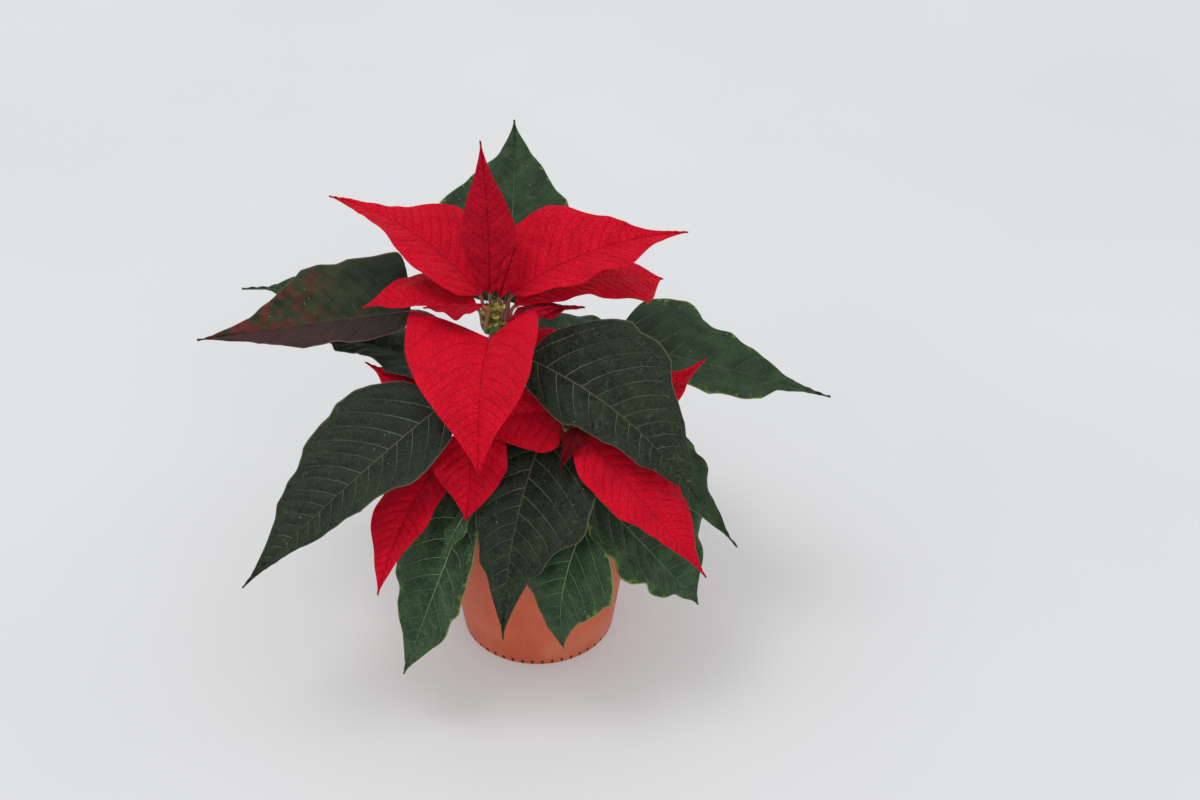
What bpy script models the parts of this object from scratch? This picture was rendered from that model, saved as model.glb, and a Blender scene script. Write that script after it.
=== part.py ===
"""A small potted poinsettia: a clay-coloured plastic pot, its soil, three green stems that each end in a
head of red bracts round tiny flowers, and the dark green leaves below them.

Units are metres and +Z is up. The origin is the centre of the pot's foot, on the surface it stands on.
Seen from -Y, with +X to the right. Tables below give places in millimetres from the origin.
"""

import math
from dataclasses import dataclass

import bmesh
import bpy
from mathutils import Matrix, Vector, noise

MM = 0.001
GAP = 0.3 * MM            # running gap between pieces that touch
Z_UP = Vector((0, 0, 1))
SHARP_ANGLE = math.radians(40)

# The pot, a 10.5 cm nursery pot
POT_HEIGHT = 91 * MM
POT_TOP_RADIUS = 52.5 * MM
POT_FOOT_RADIUS = 37.5 * MM
POT_WALL = 1.5 * MM
POT_COLLAR_HEIGHT = 13 * MM
POT_COLLAR_STEP = 2 * MM          # how far the collar stands out from the wall
POT_COLLAR_TAPER = 1.2 * MM       # how much wider it is at its top than where it starts
POT_SHOULDER = POT_HEIGHT - POT_COLLAR_HEIGHT
POT_ROUNDING = 0.6 * MM           # at the rim and under the collar
POT_HEEL = (1.0 * MM, 1.2 * MM)   # how far in and how high the foot's edge slopes
POT_GROOVE = (14 * MM, 30 * MM)   # inner and outer radius of the groove in the foot
POT_GROOVE_RISE = 2.5 * MM
POT_STEPS = 36
DRAIN_HOLES = 6
DRAIN_HOLE_RADIUS = 3 * MM
HEEL_SLOTS = 48
HEEL_SLOT = (1.2 * MM, 2.4 * MM)  # width and height of each notch in the pot's heel
HEEL_SLOT_DEPTH = 1.0 * MM
HEEL_SLOT_RISE = 0.9 * MM

# The soil
SOIL_DROP = 1.5 * MM              # its edge below the pot's shoulder
SOIL_CROWN = 3 * MM               # its middle above its edge
SOIL_ROUGHNESS = 1.6 * MM
SOIL_LUMPS = 7 * MM               # size of the lumps
SOIL_RINGS = 4

# The flowers
CUP_RADIUS = 2.1 * MM
CUP_HEIGHT = 6 * MM
CUP_STAGGER = 1 * MM
CYATHIA = {"main": 6, "right": 5, "left": 5}   # cups in the bunch on each stem

# Stalks and blades
BLADE_THICKNESS = 0.8 * MM
RIB_THICKNESS = 1.9 * MM
STALK_SIDES_RESOLUTION = 1        # six sides
STALK_POINTS = 5
STALK_OVERLAP = 0.10              # share of the blade that the stalk runs under
LEAF_STALK_RADIUS = 1.25 * MM
BRACT_STALK_RADIUS = 0.85 * MM
STALK_GAP = 0.35 * MM
STALK_ROOT = 1.0 * MM             # straight length at the stem
STATIONS = (0.0, 0.1, 0.25, 0.4, 0.6, 0.8, 1.0)   # shares of the length where the half-widths are given
BASE_BULGE = 2.2                  # how full the blade's base is
LOBE_SHARE = 0.1                  # share of the length where a lobe reaches furthest back
TIP_TAPER = 0.45                  # how finely the blade's tip runs out; lower is finer
LEAST_HALF_WIDTH = 0.6            # at the tip, in millimetres
TOOTH_RISE = 0.16                 # share of the length over which a tooth rises
TOOTH_FALL = 0.05                 # and falls
ROW_LENGTH = 10 * MM              # along the midrib, between rows of the mesh
FEWEST_ROWS = 5
COLUMNS = (-1.0, -0.55, 0.0, 0.55, 1.0)
GOLDEN_ANGLE = math.radians(137.5)
WAVES_SPREAD = 0.7                # how much the number of waves along a margin varies


@dataclass
class Stem:
    """A stem as a smooth line through points, in millimetres, thinning from its foot to its top."""

    points: tuple
    foot_radius: float
    top_radius: float


STEMS = {
    "main": Stem(
        ((0, 0, 52), (0, 0, 80), (-3, 2, 110), (-10, 4, 140), (-16, 3, 165), (-18, 0, 184)), 4.6, 2.9
    ),
    "right": Stem(((-2, 1, 98), (6, -6, 104), (15, -16, 119), (20, -22, 137)), 3.4, 2.6),
    "left": Stem(((-1, 1, 91), (-11, -5, 100), (-24, -13, 115), (-31, -17, 131)), 3.4, 2.6),
}


@dataclass
class Blade:
    """A leaf or a bract on its stalk. Places are (x, y, z) in millimetres, sizes in millimetres."""

    stem: str
    height: float             # where the stalk leaves the stem
    base: tuple               # where the stalk becomes the blade
    tip: tuple
    left: tuple               # distances from midrib to left margin at the shares in STATIONS
    right: tuple              # the same on the right
    arch: float = 8.0         # rise of the midrib above the straight line from base to tip
    sweep: float = 0.0        # the same sideways, to the right as seen from the base
    roll: float = 0.0         # degrees about the midrib; the right half dips
    fold: float = 14.0        # degrees that each half rises from flat
    droop: float = 2.0        # how far the margins curl down again
    wave: float = 1.5         # height of the waves along the margins
    waves: float = 2.5        # number of waves
    phase: float = 0.0        # where along a wave the base lies, in radians
    face: tuple = (0, 0, 1)   # the way the upper side looks
    lobe: float = 0.0         # how far the margins sweep back past the base
    lean: float = 0.5         # how steeply the stalk climbs as it leaves the stem
    leave: float = 0.0        # degrees round the stem where the stalk leaves it
    teeth: tuple = ()         # each (share of the length, height on the left, height on the right)


BRACTS = {
    # The main head
    "bract_main_back_left": Blade(
        "main", 178, (-24.5, 9, 189.5), (-96, 45, 221), (17, 21, 20, 14, 7), (21, 28, 27, 13, 4),
        arch=7, sweep=3, leave=150,
    ),
    "bract_main_upright": Blade(
        "main", 180, (-20, 6.5, 192), (-24, 41, 253), (7, 11, 13, 10, 4), (7, 11, 13, 9, 3),
        arch=6, sweep=1.5, face=(0, -1, 0.5), leave=105,
    ),
    "bract_main_inner": Blade(
        "main", 182, (-15.5, 3.5, 192), (-7, 10.5, 217), (2, 3, 4, 4, 2), (3, 5, 6, 5, 3),
        face=(0, -1, 0.5), fold=30, arch=2, leave=45,
    ),
    "bract_main_back_right": Blade(
        "main", 177, (-10, 9.5, 189.5), (72, 26, 213), (27, 31, 29, 15, 4), (10, 16, 19, 19, 8),
        arch=8, roll=15, fold=18, leave=25,
    ),
    "bract_main_right": Blade(
        "main", 172, (-8.5, 5.5, 186), (61, 37, 180), (7, 13, 14, 15, 12), (5, 8, 10, 14, 18),
        arch=7, roll=10, fold=4, leave=-8,
    ),
    "bract_main_right_low": Blade(
        "main", 178, (-12, -2, 181.5), (24, 11, 181), (3, 10, 13, 8, 3), (2, 4, 4, 3, 2),
        arch=2, roll=-4, fold=8, leave=-38,
    ),
    "bract_main_front_small": Blade(
        "main", 174, (-11, -6, 183), (12, 3, 186), (1, 3, 3, 3, 2), (1, 2, 3, 3, 2),
        arch=2, roll=30, leave=-55,
    ),
    "bract_main_front": Blade(
        "main", 176, (-20, -13, 180), (-23, -76, 148), (24, 28, 27, 19, 8), (39, 38, 32, 20, 8),
        arch=7, sweep=1.5, roll=12, fold=20, lobe=16, leave=-95,
    ),
    "bract_main_left": Blade(
        "main", 175, (-26, 3, 186.5), (-79, -3, 190), (3, 4, 4, 4, 2), (14, 21, 22, 19, 8),
        arch=4, fold=10, leave=-175,
    ),
    "bract_main_left_low": Blade(
        "main", 176, (-22.5, -7.5, 194.5), (-50, -6.5, 192.5), (3, 6, 7, 6, 2), (2, 3, 3, 3, 2),
        arch=0, fold=4, leave=-140,
    ),
    # The right head
    "bract_right_front": Blade(
        "right", 130, (24, -29, 136), (80, -74, 88), (12, 19, 24, 21, 9), (15, 20, 18, 12, 4),
        arch=6, sweep=4, fold=8, leave=-35,
    ),
    "bract_right_side": Blade(
        "right", 132, (28, -21, 139), (81, -3, 162), (8, 14, 16, 12, 5), (9, 15, 17, 14, 5),
        arch=-6, leave=20,
    ),
    "bract_right_back": Blade(
        "right", 131, (17, -9, 141), (-4, 27, 158), (12, 16, 15, 11, 5), (12, 16, 18, 17, 11),
        arch=6, leave=120,
    ),
    "bract_right_left": Blade(
        "right", 133, (13, -18, 140), (-30, -30, 138), (19, 22, 20, 16, 8), (7, 9, 13, 13, 7),
        arch=5, roll=-30, leave=-170,
    ),
    "bract_right_inner": Blade(
        "right", 126, (21, -32.5, 143), (13, -48, 131), (6, 8, 7, 4, 2), (4, 5, 5, 3, 1),
        arch=2, leave=-105,
    ),
    # The left head
    "bract_left_front": Blade(
        "left", 126, (-31, -28, 137), (-31, -60, 110), (13, 18, 18, 14, 7), (13, 18, 18, 14, 6),
        arch=4, sweep=-2, leave=-90,
    ),
    "bract_left_side": Blade(
        "left", 122, (-37, -25, 127), (-71, -83, 85), (7, 12, 13, 11, 5), (6, 12, 16, 15, 7),
        arch=5, sweep=3, leave=-130,
    ),
    "bract_left_back": Blade(
        "left", 127, (-37, -10, 134), (-82, 22, 142), (8, 13, 15, 11, 4), (7, 12, 14, 11, 4),
        arch=0, leave=150,
    ),
}

LEAVES = {
    # In sight from the front
    "leaf_back": Blade(
        "main", 158, (-15, 50, 159), (-12, 134, 212), (22, 35, 39, 22, 7), (16, 27, 29, 19, 7),
        arch=8, sweep=2, lobe=7, leave=92, teeth=((0.3, 2, 1), (0.5, 1, 2), (0.7, 1, 1)),
    ),
    "leaf_left": Blade(
        "main", 154, (-59, 26, 169), (-163, 29, 150), (12, 14, 14, 11, 5), (32, 29, 30, 18, 5),
        arch=1, roll=-25, lobe=4, leave=175, teeth=((0.3, 1, 2), (0.5, 1, 2), (0.7, 1, 1)),
    ),
    "leaf_left_back": Blade(
        "main", 144, (-67, 54, 152), (-147, 74, 150), (12, 18, 18, 14, 4), (12, 20, 20, 12, 3),
        arch=4, leave=165, teeth=((0.3, 2, 1), (0.5, 1, 2)),
    ),
    "leaf_left_low": Blade(
        "main", 122, (-43, 17, 141), (-112, 56, 138), (18, 17, 13, 12, 9), (12, 16, 18, 14, 8),
        arch=2, leave=150, teeth=((0.3, 2, 1), (0.5, 2, 2), (0.7, 3, 1)),
    ),
    "leaf_front_left": Blade(
        "main", 137, (-40, -27, 154), (-132, -86, 92), (22, 25, 20, 14, 6), (26, 34, 33, 22, 9),
        arch=3, roll=-10, leave=-150, teeth=((0.3, 2, 1.5), (0.5, 2, 2), (0.7, 1, 1.5)),
    ),
    "leaf_front_right": Blade(
        "main", 148, (-3, -6, 164), (78, -54, 115), (22, 34, 37, 24, 10), (15, 19, 17, 13, 7),
        arch=11, roll=32, leave=-60, teeth=((0.3, 3, 2), (0.5, 3, 1), (0.7, 1, 2)),
    ),
    "leaf_right": Blade(
        "main", 135, (37, 34, 146), (141, 3, 135), (30, 33, 23, 14, 5), (14, 19, 21, 18, 6),
        arch=1, roll=8, leave=35, teeth=((0.3, 2, 1), (0.5, 2, 2), (0.72, 1, 5)),
    ),
    "leaf_right_back": Blade(
        "main", 128, (-2, 38, 142), (46, 62, 132), (12, 17, 17, 12, 5), (8, 11, 11, 8, 4),
        arch=4, leave=75, teeth=((0.4, 1, 1),),
    ),
    "leaf_right_side": Blade(
        "right", 122, (50, -5, 125.5), (96, -43, 80.5), (9, 17, 15, 9, 3), (9, 16, 17, 11, 3),
        arch=6, sweep=5, leave=-10, teeth=((0.3, 1, 1), (0.5, 1.5, 1)),
    ),
    "leaf_right_low": Blade(
        "main", 88, (24, -36, 112), (78, -49, 50), (17, 27, 32, 35, 25), (14, 24, 26, 21, 9),
        arch=4, sweep=4, roll=12, lobe=4, wave=2.5, waves=4, leave=-30, lean=0.9,
        teeth=((0.3, 2, 2), (0.5, 2, 3), (0.72, 6, 3)),
    ),
    "leaf_front": Blade(
        "main", 104, (4, -23, 130), (-14, -85, 60), (28, 36, 35, 18, 7), (15, 20, 19, 14, 6),
        arch=10, sweep=2, leave=-80, teeth=((0.3, 1, 1), (0.48, 3, 1), (0.65, 3, 2)),
    ),
    "leaf_front_low": Blade(
        "main", 92, (23, -57, 103), (14, -68, 39), (24, 30, 27, 15, 6), (16, 22, 21, 16, 8),
        arch=8, leave=-62, lean=0.1, teeth=((0.35, 3, 1), (0.55, 1, 2)),
    ),
    "leaf_front_low_left": Blade(
        "left", 97, (-31, -44, 105), (-62, -76, 30), (10, 14, 19, 18, 9), (26, 29, 26, 18, 7),
        arch=6, sweep=-4, lobe=11, leave=-125, lean=0,
        teeth=((0.3, 1, 2), (0.5, 3, 2), (0.7, 1, 1)),
    ),
    "leaf_front_small": Blade(
        "main", 102, (-28, -50, 112), (-43, -67, 91), (3, 4, 5, 4, 2), (4, 5, 5, 4, 2),
        arch=2, leave=-116, lean=0.2,
    ),
    # Behind
    "leaf_rear_right": Blade(
        "main", 116, (22, 40, 114), (86, 92, 92), (16, 23, 24, 18, 8), (16, 23, 24, 18, 8),
        leave=48, teeth=((0.3, 2, 1), (0.5, 1, 2), (0.7, 1, 1)),
    ),
    "leaf_rear_left": Blade(
        "main", 110, (-32, 38, 108), (-82, 100, 84), (16, 23, 24, 18, 8), (16, 23, 24, 18, 8),
        leave=125, teeth=((0.3, 1, 2), (0.5, 2, 1), (0.7, 1, 1)),
    ),
    "leaf_rear_low": Blade(
        "main", 98, (2, 42, 104), (8, 112, 70), (15, 22, 23, 17, 8), (15, 22, 23, 17, 8),
        leave=88, lean=0.2, teeth=((0.3, 1, 2), (0.5, 2, 2)),
    ),
    "leaf_side_low": Blade(
        "main", 90, (40, 16, 100), (72, 46, 66), (14, 18, 18, 14, 6), (14, 16, 16, 12, 5),
        leave=20, lean=0.2, teeth=((0.4, 1, 1),),
    ),
    "leaf_left_side_low": Blade(
        "left", 108, (-46, -6, 112), (-96, 12, 80), (14, 20, 21, 16, 7), (14, 20, 21, 16, 7),
        leave=175, lean=0.2, teeth=((0.35, 2, 1), (0.6, 1, 1)),
    ),
}


# Helpers


def clear_scene():
    for obj in list(bpy.data.objects):
        bpy.data.objects.remove(obj)


def collection(name):
    made = bpy.data.collections.new(name)
    bpy.context.scene.collection.children.link(made)
    return made


def material(name, color, roughness):
    made = bpy.data.materials.new(name)
    made.use_nodes = True
    shader = made.node_tree.nodes["Principled BSDF"]
    shader.inputs["Base Color"].default_value = color
    shader.inputs["Roughness"].default_value = roughness
    shader.inputs["Metallic"].default_value = 0.0
    return made


def mesh_object(name, mesh, where):
    obj = bpy.data.objects.new(name, mesh)
    where.objects.link(obj)
    return obj


def from_bmesh(name, edit, where):
    mesh = bpy.data.meshes.new(name)
    edit.to_mesh(mesh)
    edit.free()
    return mesh_object(name, mesh, where)


def as_cutter(obj):
    obj.hide_render = True
    obj.display_type = "WIRE"
    return obj


def baked(obj, where):
    """Replaces an object by the mesh that its modifiers or its bevel make, and returns the new object."""
    bpy.context.view_layer.update()
    graph = bpy.context.evaluated_depsgraph_get()
    name = obj.name
    made = mesh_object(name, bpy.data.meshes.new_from_object(obj.evaluated_get(graph)), where)
    made.matrix_world = obj.matrix_world
    bpy.data.objects.remove(obj)
    made.name = name
    return made


def welded(obj):
    edit = bmesh.new()
    edit.from_mesh(obj.data)
    bmesh.ops.remove_doubles(edit, verts=edit.verts, dist=0.01 * MM)
    edit.to_mesh(obj.data)
    edit.free()
    return obj


def united(name, pieces, where):
    """One closed solid out of pieces that overlap; the pieces are used up."""
    first, *rest = pieces
    helpers = collection(name + "_pieces")
    for piece in rest:
        for home in list(piece.users_collection):
            home.objects.unlink(piece)
        helpers.objects.link(piece)
    union = first.modifiers.new("union", "BOOLEAN")
    union.operation = "UNION"
    union.operand_type = "COLLECTION"
    union.collection = helpers
    union.solver = "MANIFOLD"
    made = baked(first, where)
    made.name = name
    for piece in rest:
        bpy.data.objects.remove(piece)
    bpy.data.collections.remove(helpers)
    return made


def cut(obj, cutter):
    difference = obj.modifiers.new("openings", "BOOLEAN")
    difference.operation = "DIFFERENCE"
    difference.object = cutter
    return obj


def painted(obj, paint):
    """Gives the object its material and smooth shading, except across sharp edges."""
    obj.data.materials.clear()
    obj.data.materials.append(paint)
    obj.data.shade_smooth()
    obj.data.set_sharp_from_angle(angle=SHARP_ANGLE)
    return obj


def turned(name, profile, steps, where):
    """A solid turned round Z from a profile of (radius, z) points that starts and ends on the axis."""
    mesh = bpy.data.meshes.new(name)
    points = [(radius, 0, z) for radius, z in profile]
    mesh.from_pydata(points, [(i, i + 1) for i in range(len(points) - 1)], [])
    obj = mesh_object(name, mesh, where)
    screw = obj.modifiers.new("turn", "SCREW")
    screw.steps = screw.render_steps = steps
    screw.use_merge_vertices = True
    screw.merge_threshold = 0.01 * MM
    screw.use_smooth_shade = True
    return obj


def tube(name, points, radii, where, resolution=STALK_SIDES_RESOLUTION):
    """A closed tube along points, with a radius at each."""
    curve = bpy.data.curves.new(name, "CURVE")
    curve.dimensions = "3D"
    curve.bevel_depth = 1.0
    curve.bevel_resolution = resolution
    curve.use_fill_caps = True
    line = curve.splines.new("POLY")
    line.points.add(len(points) - 1)
    for knot, point, radius in zip(line.points, points, radii):
        knot.co = (*point, 1)
        knot.radius = radius
    return welded(baked(mesh_object(name, curve, where), where))


def add_rod(edit, at, radius, depth, sides):
    """Adds an upright rod centred at a point."""
    place = Matrix.Translation(at)
    bmesh.ops.create_cone(
        edit, cap_ends=True, segments=sides, radius1=radius, radius2=radius, depth=depth, matrix=place
    )


# Stems


def spline_point(points, share):
    """A point on a Catmull-Rom curve through the points, and the direction of the curve there."""
    last = len(points) - 1
    place = min(max(share, 0.0), 1.0) * last
    i = min(int(place), last - 1)
    u = place - i
    p0 = points[max(i - 1, 0)]
    p1 = points[i]
    p2 = points[i + 1]
    p3 = points[min(i + 2, last)]
    linear = p2 - p0
    square = 2 * p0 - 5 * p1 + 4 * p2 - p3
    cube = 3 * p1 - p0 - 3 * p2 + p3
    point = p1 + 0.5 * (linear * u + square * u**2 + cube * u**3)
    slope = 0.5 * (linear + 2 * square * u + 3 * cube * u**2)
    return point, slope.normalized()


def stem_section(stem, share):
    """Centre, direction and radius of a stem at a share of its way up."""
    knots = [Vector(p) * MM for p in stem.points]
    point, way = spline_point(knots, share)
    return point, way, (stem.foot_radius + (stem.top_radius - stem.foot_radius) * share) * MM


def stem_at_height(stem, height):
    """The same at a height above the surface, found by halving."""
    low, high = 0.0, 1.0
    for _ in range(30):
        middle = (low + high) / 2
        if stem_section(stem, middle)[0].z < height:
            low = middle
        else:
            high = middle
    return stem_section(stem, low)


def make_stems(where, green):
    made = []
    for name, stem in STEMS.items():
        count = 2 * len(stem.points) - 1
        sections = [stem_section(stem, i / (count - 1)) for i in range(count)]
        made.append(tube(name, [s[0] for s in sections], [s[2] for s in sections], where, resolution=2))
    return painted(united("stems", made, where), green)


# Blades


def smooth_through(marks, values, mark):
    """A smooth line through values at marks that never overshoots them."""
    i = max(k for k in range(len(marks) - 1) if marks[k] <= mark)
    steps = [(values[k + 1] - values[k]) / (marks[k + 1] - marks[k]) for k in range(len(marks) - 1)]

    def slope(k):
        if k == 0:
            return BASE_BULGE * steps[0]
        if k == len(marks) - 1:
            return TIP_TAPER * steps[-1]
        before, after = steps[k - 1], steps[k]
        return 0.0 if before * after <= 0 else 2 * before * after / (before + after)

    width = marks[i + 1] - marks[i]
    u = (mark - marks[i]) / width
    rise = values[i + 1] - values[i]
    ease = u * u * (3 - 2 * u)
    return values[i] + rise * ease + width * (slope(i) * u * (1 - u) ** 2 - slope(i + 1) * u * u * (1 - u))


def half_width(blade, side, share):
    """Distance from the midrib to the margin on one side, with its teeth."""
    body = smooth_through(STATIONS, (0.0, *(blade.right if side > 0 else blade.left), 0.0), share)
    for at, left, right in blade.teeth:
        height = right if side > 0 else left
        if at - TOOTH_RISE < share <= at:
            body += height * ((share - at + TOOTH_RISE) / TOOTH_RISE) ** 1.5
        elif at < share < at + TOOTH_FALL:
            body += height * (1 - (share - at) / TOOTH_FALL)
    return max(body, LEAST_HALF_WIDTH * (1.6 - share)) * MM


def blade_axes(blade):
    """Base, tip and the unit vectors along, across and up from the blade's straight line."""
    base, tip = Vector(blade.base) * MM, Vector(blade.tip) * MM
    along = (tip - base).normalized()
    face = Vector(blade.face)
    up = (face - face.dot(along) * along).normalized()
    return base, tip, along.cross(up), up


def midrib(blade, share):
    """A point of the midrib and its frame: along it, across to the right, and up."""
    base, tip, across, up = blade_axes(blade)
    bend = (up * blade.arch + across * blade.sweep) * MM
    point = base.lerp(tip, share) + bend * 4 * share * (1 - share)
    way = (tip - base + bend * 4 * (1 - 2 * share)).normalized()
    turn = math.radians(blade.roll)
    side = way.cross(up * math.cos(turn) + across * math.sin(turn)).normalized()
    return point, way, side, side.cross(way)


def blade_point(blade, share, across):
    """A point of the blade: share along the midrib, across from -1 at the left margin to 1 at the right."""
    point, way, side, up = midrib(blade, share)
    hand = 1 if across > 0 else -1
    reach = abs(across) * half_width(blade, hand, share)
    fold = math.radians(blade.fold)
    out = reach / (max(blade.right if hand > 0 else blade.left) * MM)
    ripple = math.sin(math.tau * blade.waves * share + blade.phase + 1.4 * hand)
    lift = reach * math.sin(fold) - blade.droop * MM * out * out
    lift += blade.wave * MM * ripple * across * across * math.sin(math.pi * share)
    swept = share / LOBE_SHARE
    back = blade.lobe * MM * abs(across) * swept * math.exp(1 - swept)
    return point + side * hand * reach * math.cos(fold) + up * lift - way * back


def blade_rows(blade, count):
    """Shares of the length where the rows of the mesh lie, moved to the tips and notches of the teeth."""
    rows = [i / count for i in range(count + 1)]
    free = set(range(2, count))
    for at, _, _ in blade.teeth:
        for mark in (at, at + TOOTH_FALL):
            nearest = min(free, key=lambda i: abs(rows[i] - mark))
            free.remove(nearest)
            rows[nearest] = mark
    return sorted(rows + [0.5 / count])


def make_sheet(name, blade, rows, columns, where):
    """The blade as a thin solid, thicker along the midrib on its underside."""
    edit = bmesh.new()
    bmesh.ops.create_grid(edit, x_segments=len(columns) - 1, y_segments=len(rows) - 1, size=1)
    rib = edit.verts.layers.deform.verify()
    for vertex in edit.verts:
        column = round((vertex.co.x + 1) / 2 * (len(columns) - 1))
        row = round((vertex.co.y + 1) / 2 * (len(rows) - 1))
        vertex.co = blade_point(blade, rows[row], columns[column])
        if columns[column] == 0:
            vertex[rib][0] = 1 - rows[row] ** 2
    bmesh.ops.triangulate(edit, faces=edit.faces)
    sheet = from_bmesh(name, edit, where)
    sheet.vertex_groups.new(name="rib")
    solidify = sheet.modifiers.new("thickness", "SOLIDIFY")
    solidify.thickness = RIB_THICKNESS
    solidify.thickness_vertex_group = BLADE_THICKNESS / RIB_THICKNESS
    solidify.vertex_group = "rib"
    solidify.offset = -1
    return sheet


def stalk_line(blade, stalk_radius):
    """Points from the stem's surface to a little way under the blade."""
    centre, way, radius = stem_at_height(STEMS[blade.stem], blade.height * MM)
    base, blade_way, _, blade_up = midrib(blade, 0)
    angle = math.radians(blade.leave)
    out = Vector((math.cos(angle), math.sin(angle), 0))
    out = (out - out.dot(way) * way).normalized()
    root = centre + out * (radius + STALK_GAP)
    start = root + out * STALK_ROOT
    sunk = stalk_radius * 0.5 + BLADE_THICKNESS / 2
    end = base - blade_up * sunk
    reach = (end - start).length / 3
    bend_1 = start + (out + way * blade.lean).normalized() * reach
    bend_2 = end - blade_way * reach
    points = [root, start]
    for i in range(1, STALK_POINTS):
        u = i / (STALK_POINTS - 1)
        v = 1 - u
        points.append(start * v**3 + bend_1 * 3 * u * v**2 + bend_2 * 3 * u * u * v + end * u**3)
    ahead, _, _, ahead_up = midrib(blade, STALK_OVERLAP)
    points.append(ahead - ahead_up * sunk)
    return points


def vary_margins(blades):
    """Spreads the number and the place of the margins' waves over the blades, so that no two are alike."""
    for i, blade in enumerate(blades):
        blade.phase = GOLDEN_ANGLE * i
        blade.waves += WAVES_SPREAD * math.sin(GOLDEN_ANGLE * 3 * i)


def make_blade(name, blade, stalk_radius, paint, where):
    length = (Vector(blade.tip) - Vector(blade.base)).length * MM
    rows = blade_rows(blade, max(FEWEST_ROWS, round(length / ROW_LENGTH)))
    sheet = baked(make_sheet(name, blade, rows, COLUMNS, where), where)
    points = stalk_line(blade, stalk_radius)
    radii = [stalk_radius] * (len(points) - 1) + [stalk_radius * 0.6]
    stalk = tube(name + "_stalk", points, radii, where)
    return painted(united(name, [sheet, stalk], where), paint)


# Flowers


def make_cyathia(name, stem, cups, where, paint):
    """The tiny true flowers: a tight bunch of green cups just above the end of a stem."""
    top, way, _ = stem_section(STEMS[stem], 1)
    upright = Z_UP.rotation_difference(way).to_matrix()
    bunch = []
    for i in range(cups):
        angle = math.tau * i / (cups - 1)
        out = upright @ Vector((math.cos(angle), math.sin(angle), 0)) if i else Vector()
        lift = CUP_HEIGHT / 2 + STALK_GAP + CUP_STAGGER * (i % 2)
        at = top + way * lift + out * CUP_RADIUS * 1.3
        lean = Z_UP.rotation_difference(way + out * 0.2).to_matrix().to_4x4()
        size = Matrix.Diagonal((CUP_RADIUS, CUP_RADIUS, CUP_HEIGHT / 2, 1))
        edit = bmesh.new()
        place = Matrix.Translation(at) @ lean @ size
        bmesh.ops.create_uvsphere(edit, u_segments=7, v_segments=5, radius=1, matrix=place)
        bunch.append(from_bmesh("cup", edit, where))
    return painted(united(name, bunch, where), paint)


# Pot and soil


def pot_outer_radius(z):
    """Outer radius of the pot's plain wall."""
    shoulder_radius = POT_TOP_RADIUS - POT_COLLAR_STEP - POT_COLLAR_TAPER
    return POT_FOOT_RADIUS + (shoulder_radius - POT_FOOT_RADIUS) * z / POT_SHOULDER


def make_pot(where, clay, cutters):
    """A tapered wall under a collar, on a foot with a raised ring, drain holes and slots in the heel."""
    groove_in, groove_out = POT_GROOVE
    slope = 1 * MM
    heel_in, heel_up = POT_HEEL
    wall_at_shoulder = pot_outer_radius(POT_SHOULDER)
    collar = wall_at_shoulder + POT_COLLAR_STEP
    floor = POT_GROOVE_RISE + POT_WALL
    inside = [
        (0, floor),
        (pot_outer_radius(floor) - POT_WALL, floor),
        (wall_at_shoulder - POT_WALL, POT_SHOULDER + POT_ROUNDING),
        (collar - POT_WALL, POT_SHOULDER + POT_ROUNDING + POT_WALL),
        (POT_TOP_RADIUS - POT_WALL, POT_HEIGHT - POT_ROUNDING),
        (POT_TOP_RADIUS - POT_WALL / 2, POT_HEIGHT),
    ]
    outside = [
        (POT_TOP_RADIUS, POT_HEIGHT - POT_ROUNDING),
        (collar, POT_SHOULDER + POT_ROUNDING),
        (collar - POT_ROUNDING, POT_SHOULDER),
        (wall_at_shoulder, POT_SHOULDER),
        (pot_outer_radius(heel_up), heel_up),
        (POT_FOOT_RADIUS - heel_in, 0),
    ]
    under = [
        (groove_out + slope, 0),
        (groove_out, POT_GROOVE_RISE),
        (groove_in + slope, POT_GROOVE_RISE),
        (groove_in, 0),
        (0, 0),
    ]
    middle = (groove_in + groove_out) / 2
    openings = bmesh.new()
    for i in range(DRAIN_HOLES):
        angle = math.tau * i / DRAIN_HOLES
        at = Vector((middle * math.cos(angle), middle * math.sin(angle), POT_GROOVE_RISE))
        add_rod(openings, at, DRAIN_HOLE_RADIUS, floor * 2, 8)
    for i in range(HEEL_SLOTS):
        add_slot(openings, math.tau * (i + 0.5) / HEEL_SLOTS)
    cutter = as_cutter(from_bmesh("pot_openings", openings, cutters))
    return painted(cut(turned("pot", inside + outside + under, POT_STEPS, where), cutter), clay)


def add_slot(edit, angle):
    """Adds a small block that notches the heel of the wall."""
    width, height = HEEL_SLOT
    radius = pot_outer_radius(height)
    at = Vector((radius * math.cos(angle), radius * math.sin(angle), height / 2 + HEEL_SLOT_RISE))
    turn = Matrix.Rotation(angle, 4, "Z")
    size = Matrix.Diagonal((HEEL_SLOT_DEPTH * 2, width, height, 1))
    bmesh.ops.create_cube(edit, size=1, matrix=Matrix.Translation(at) @ turn @ size)


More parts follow.
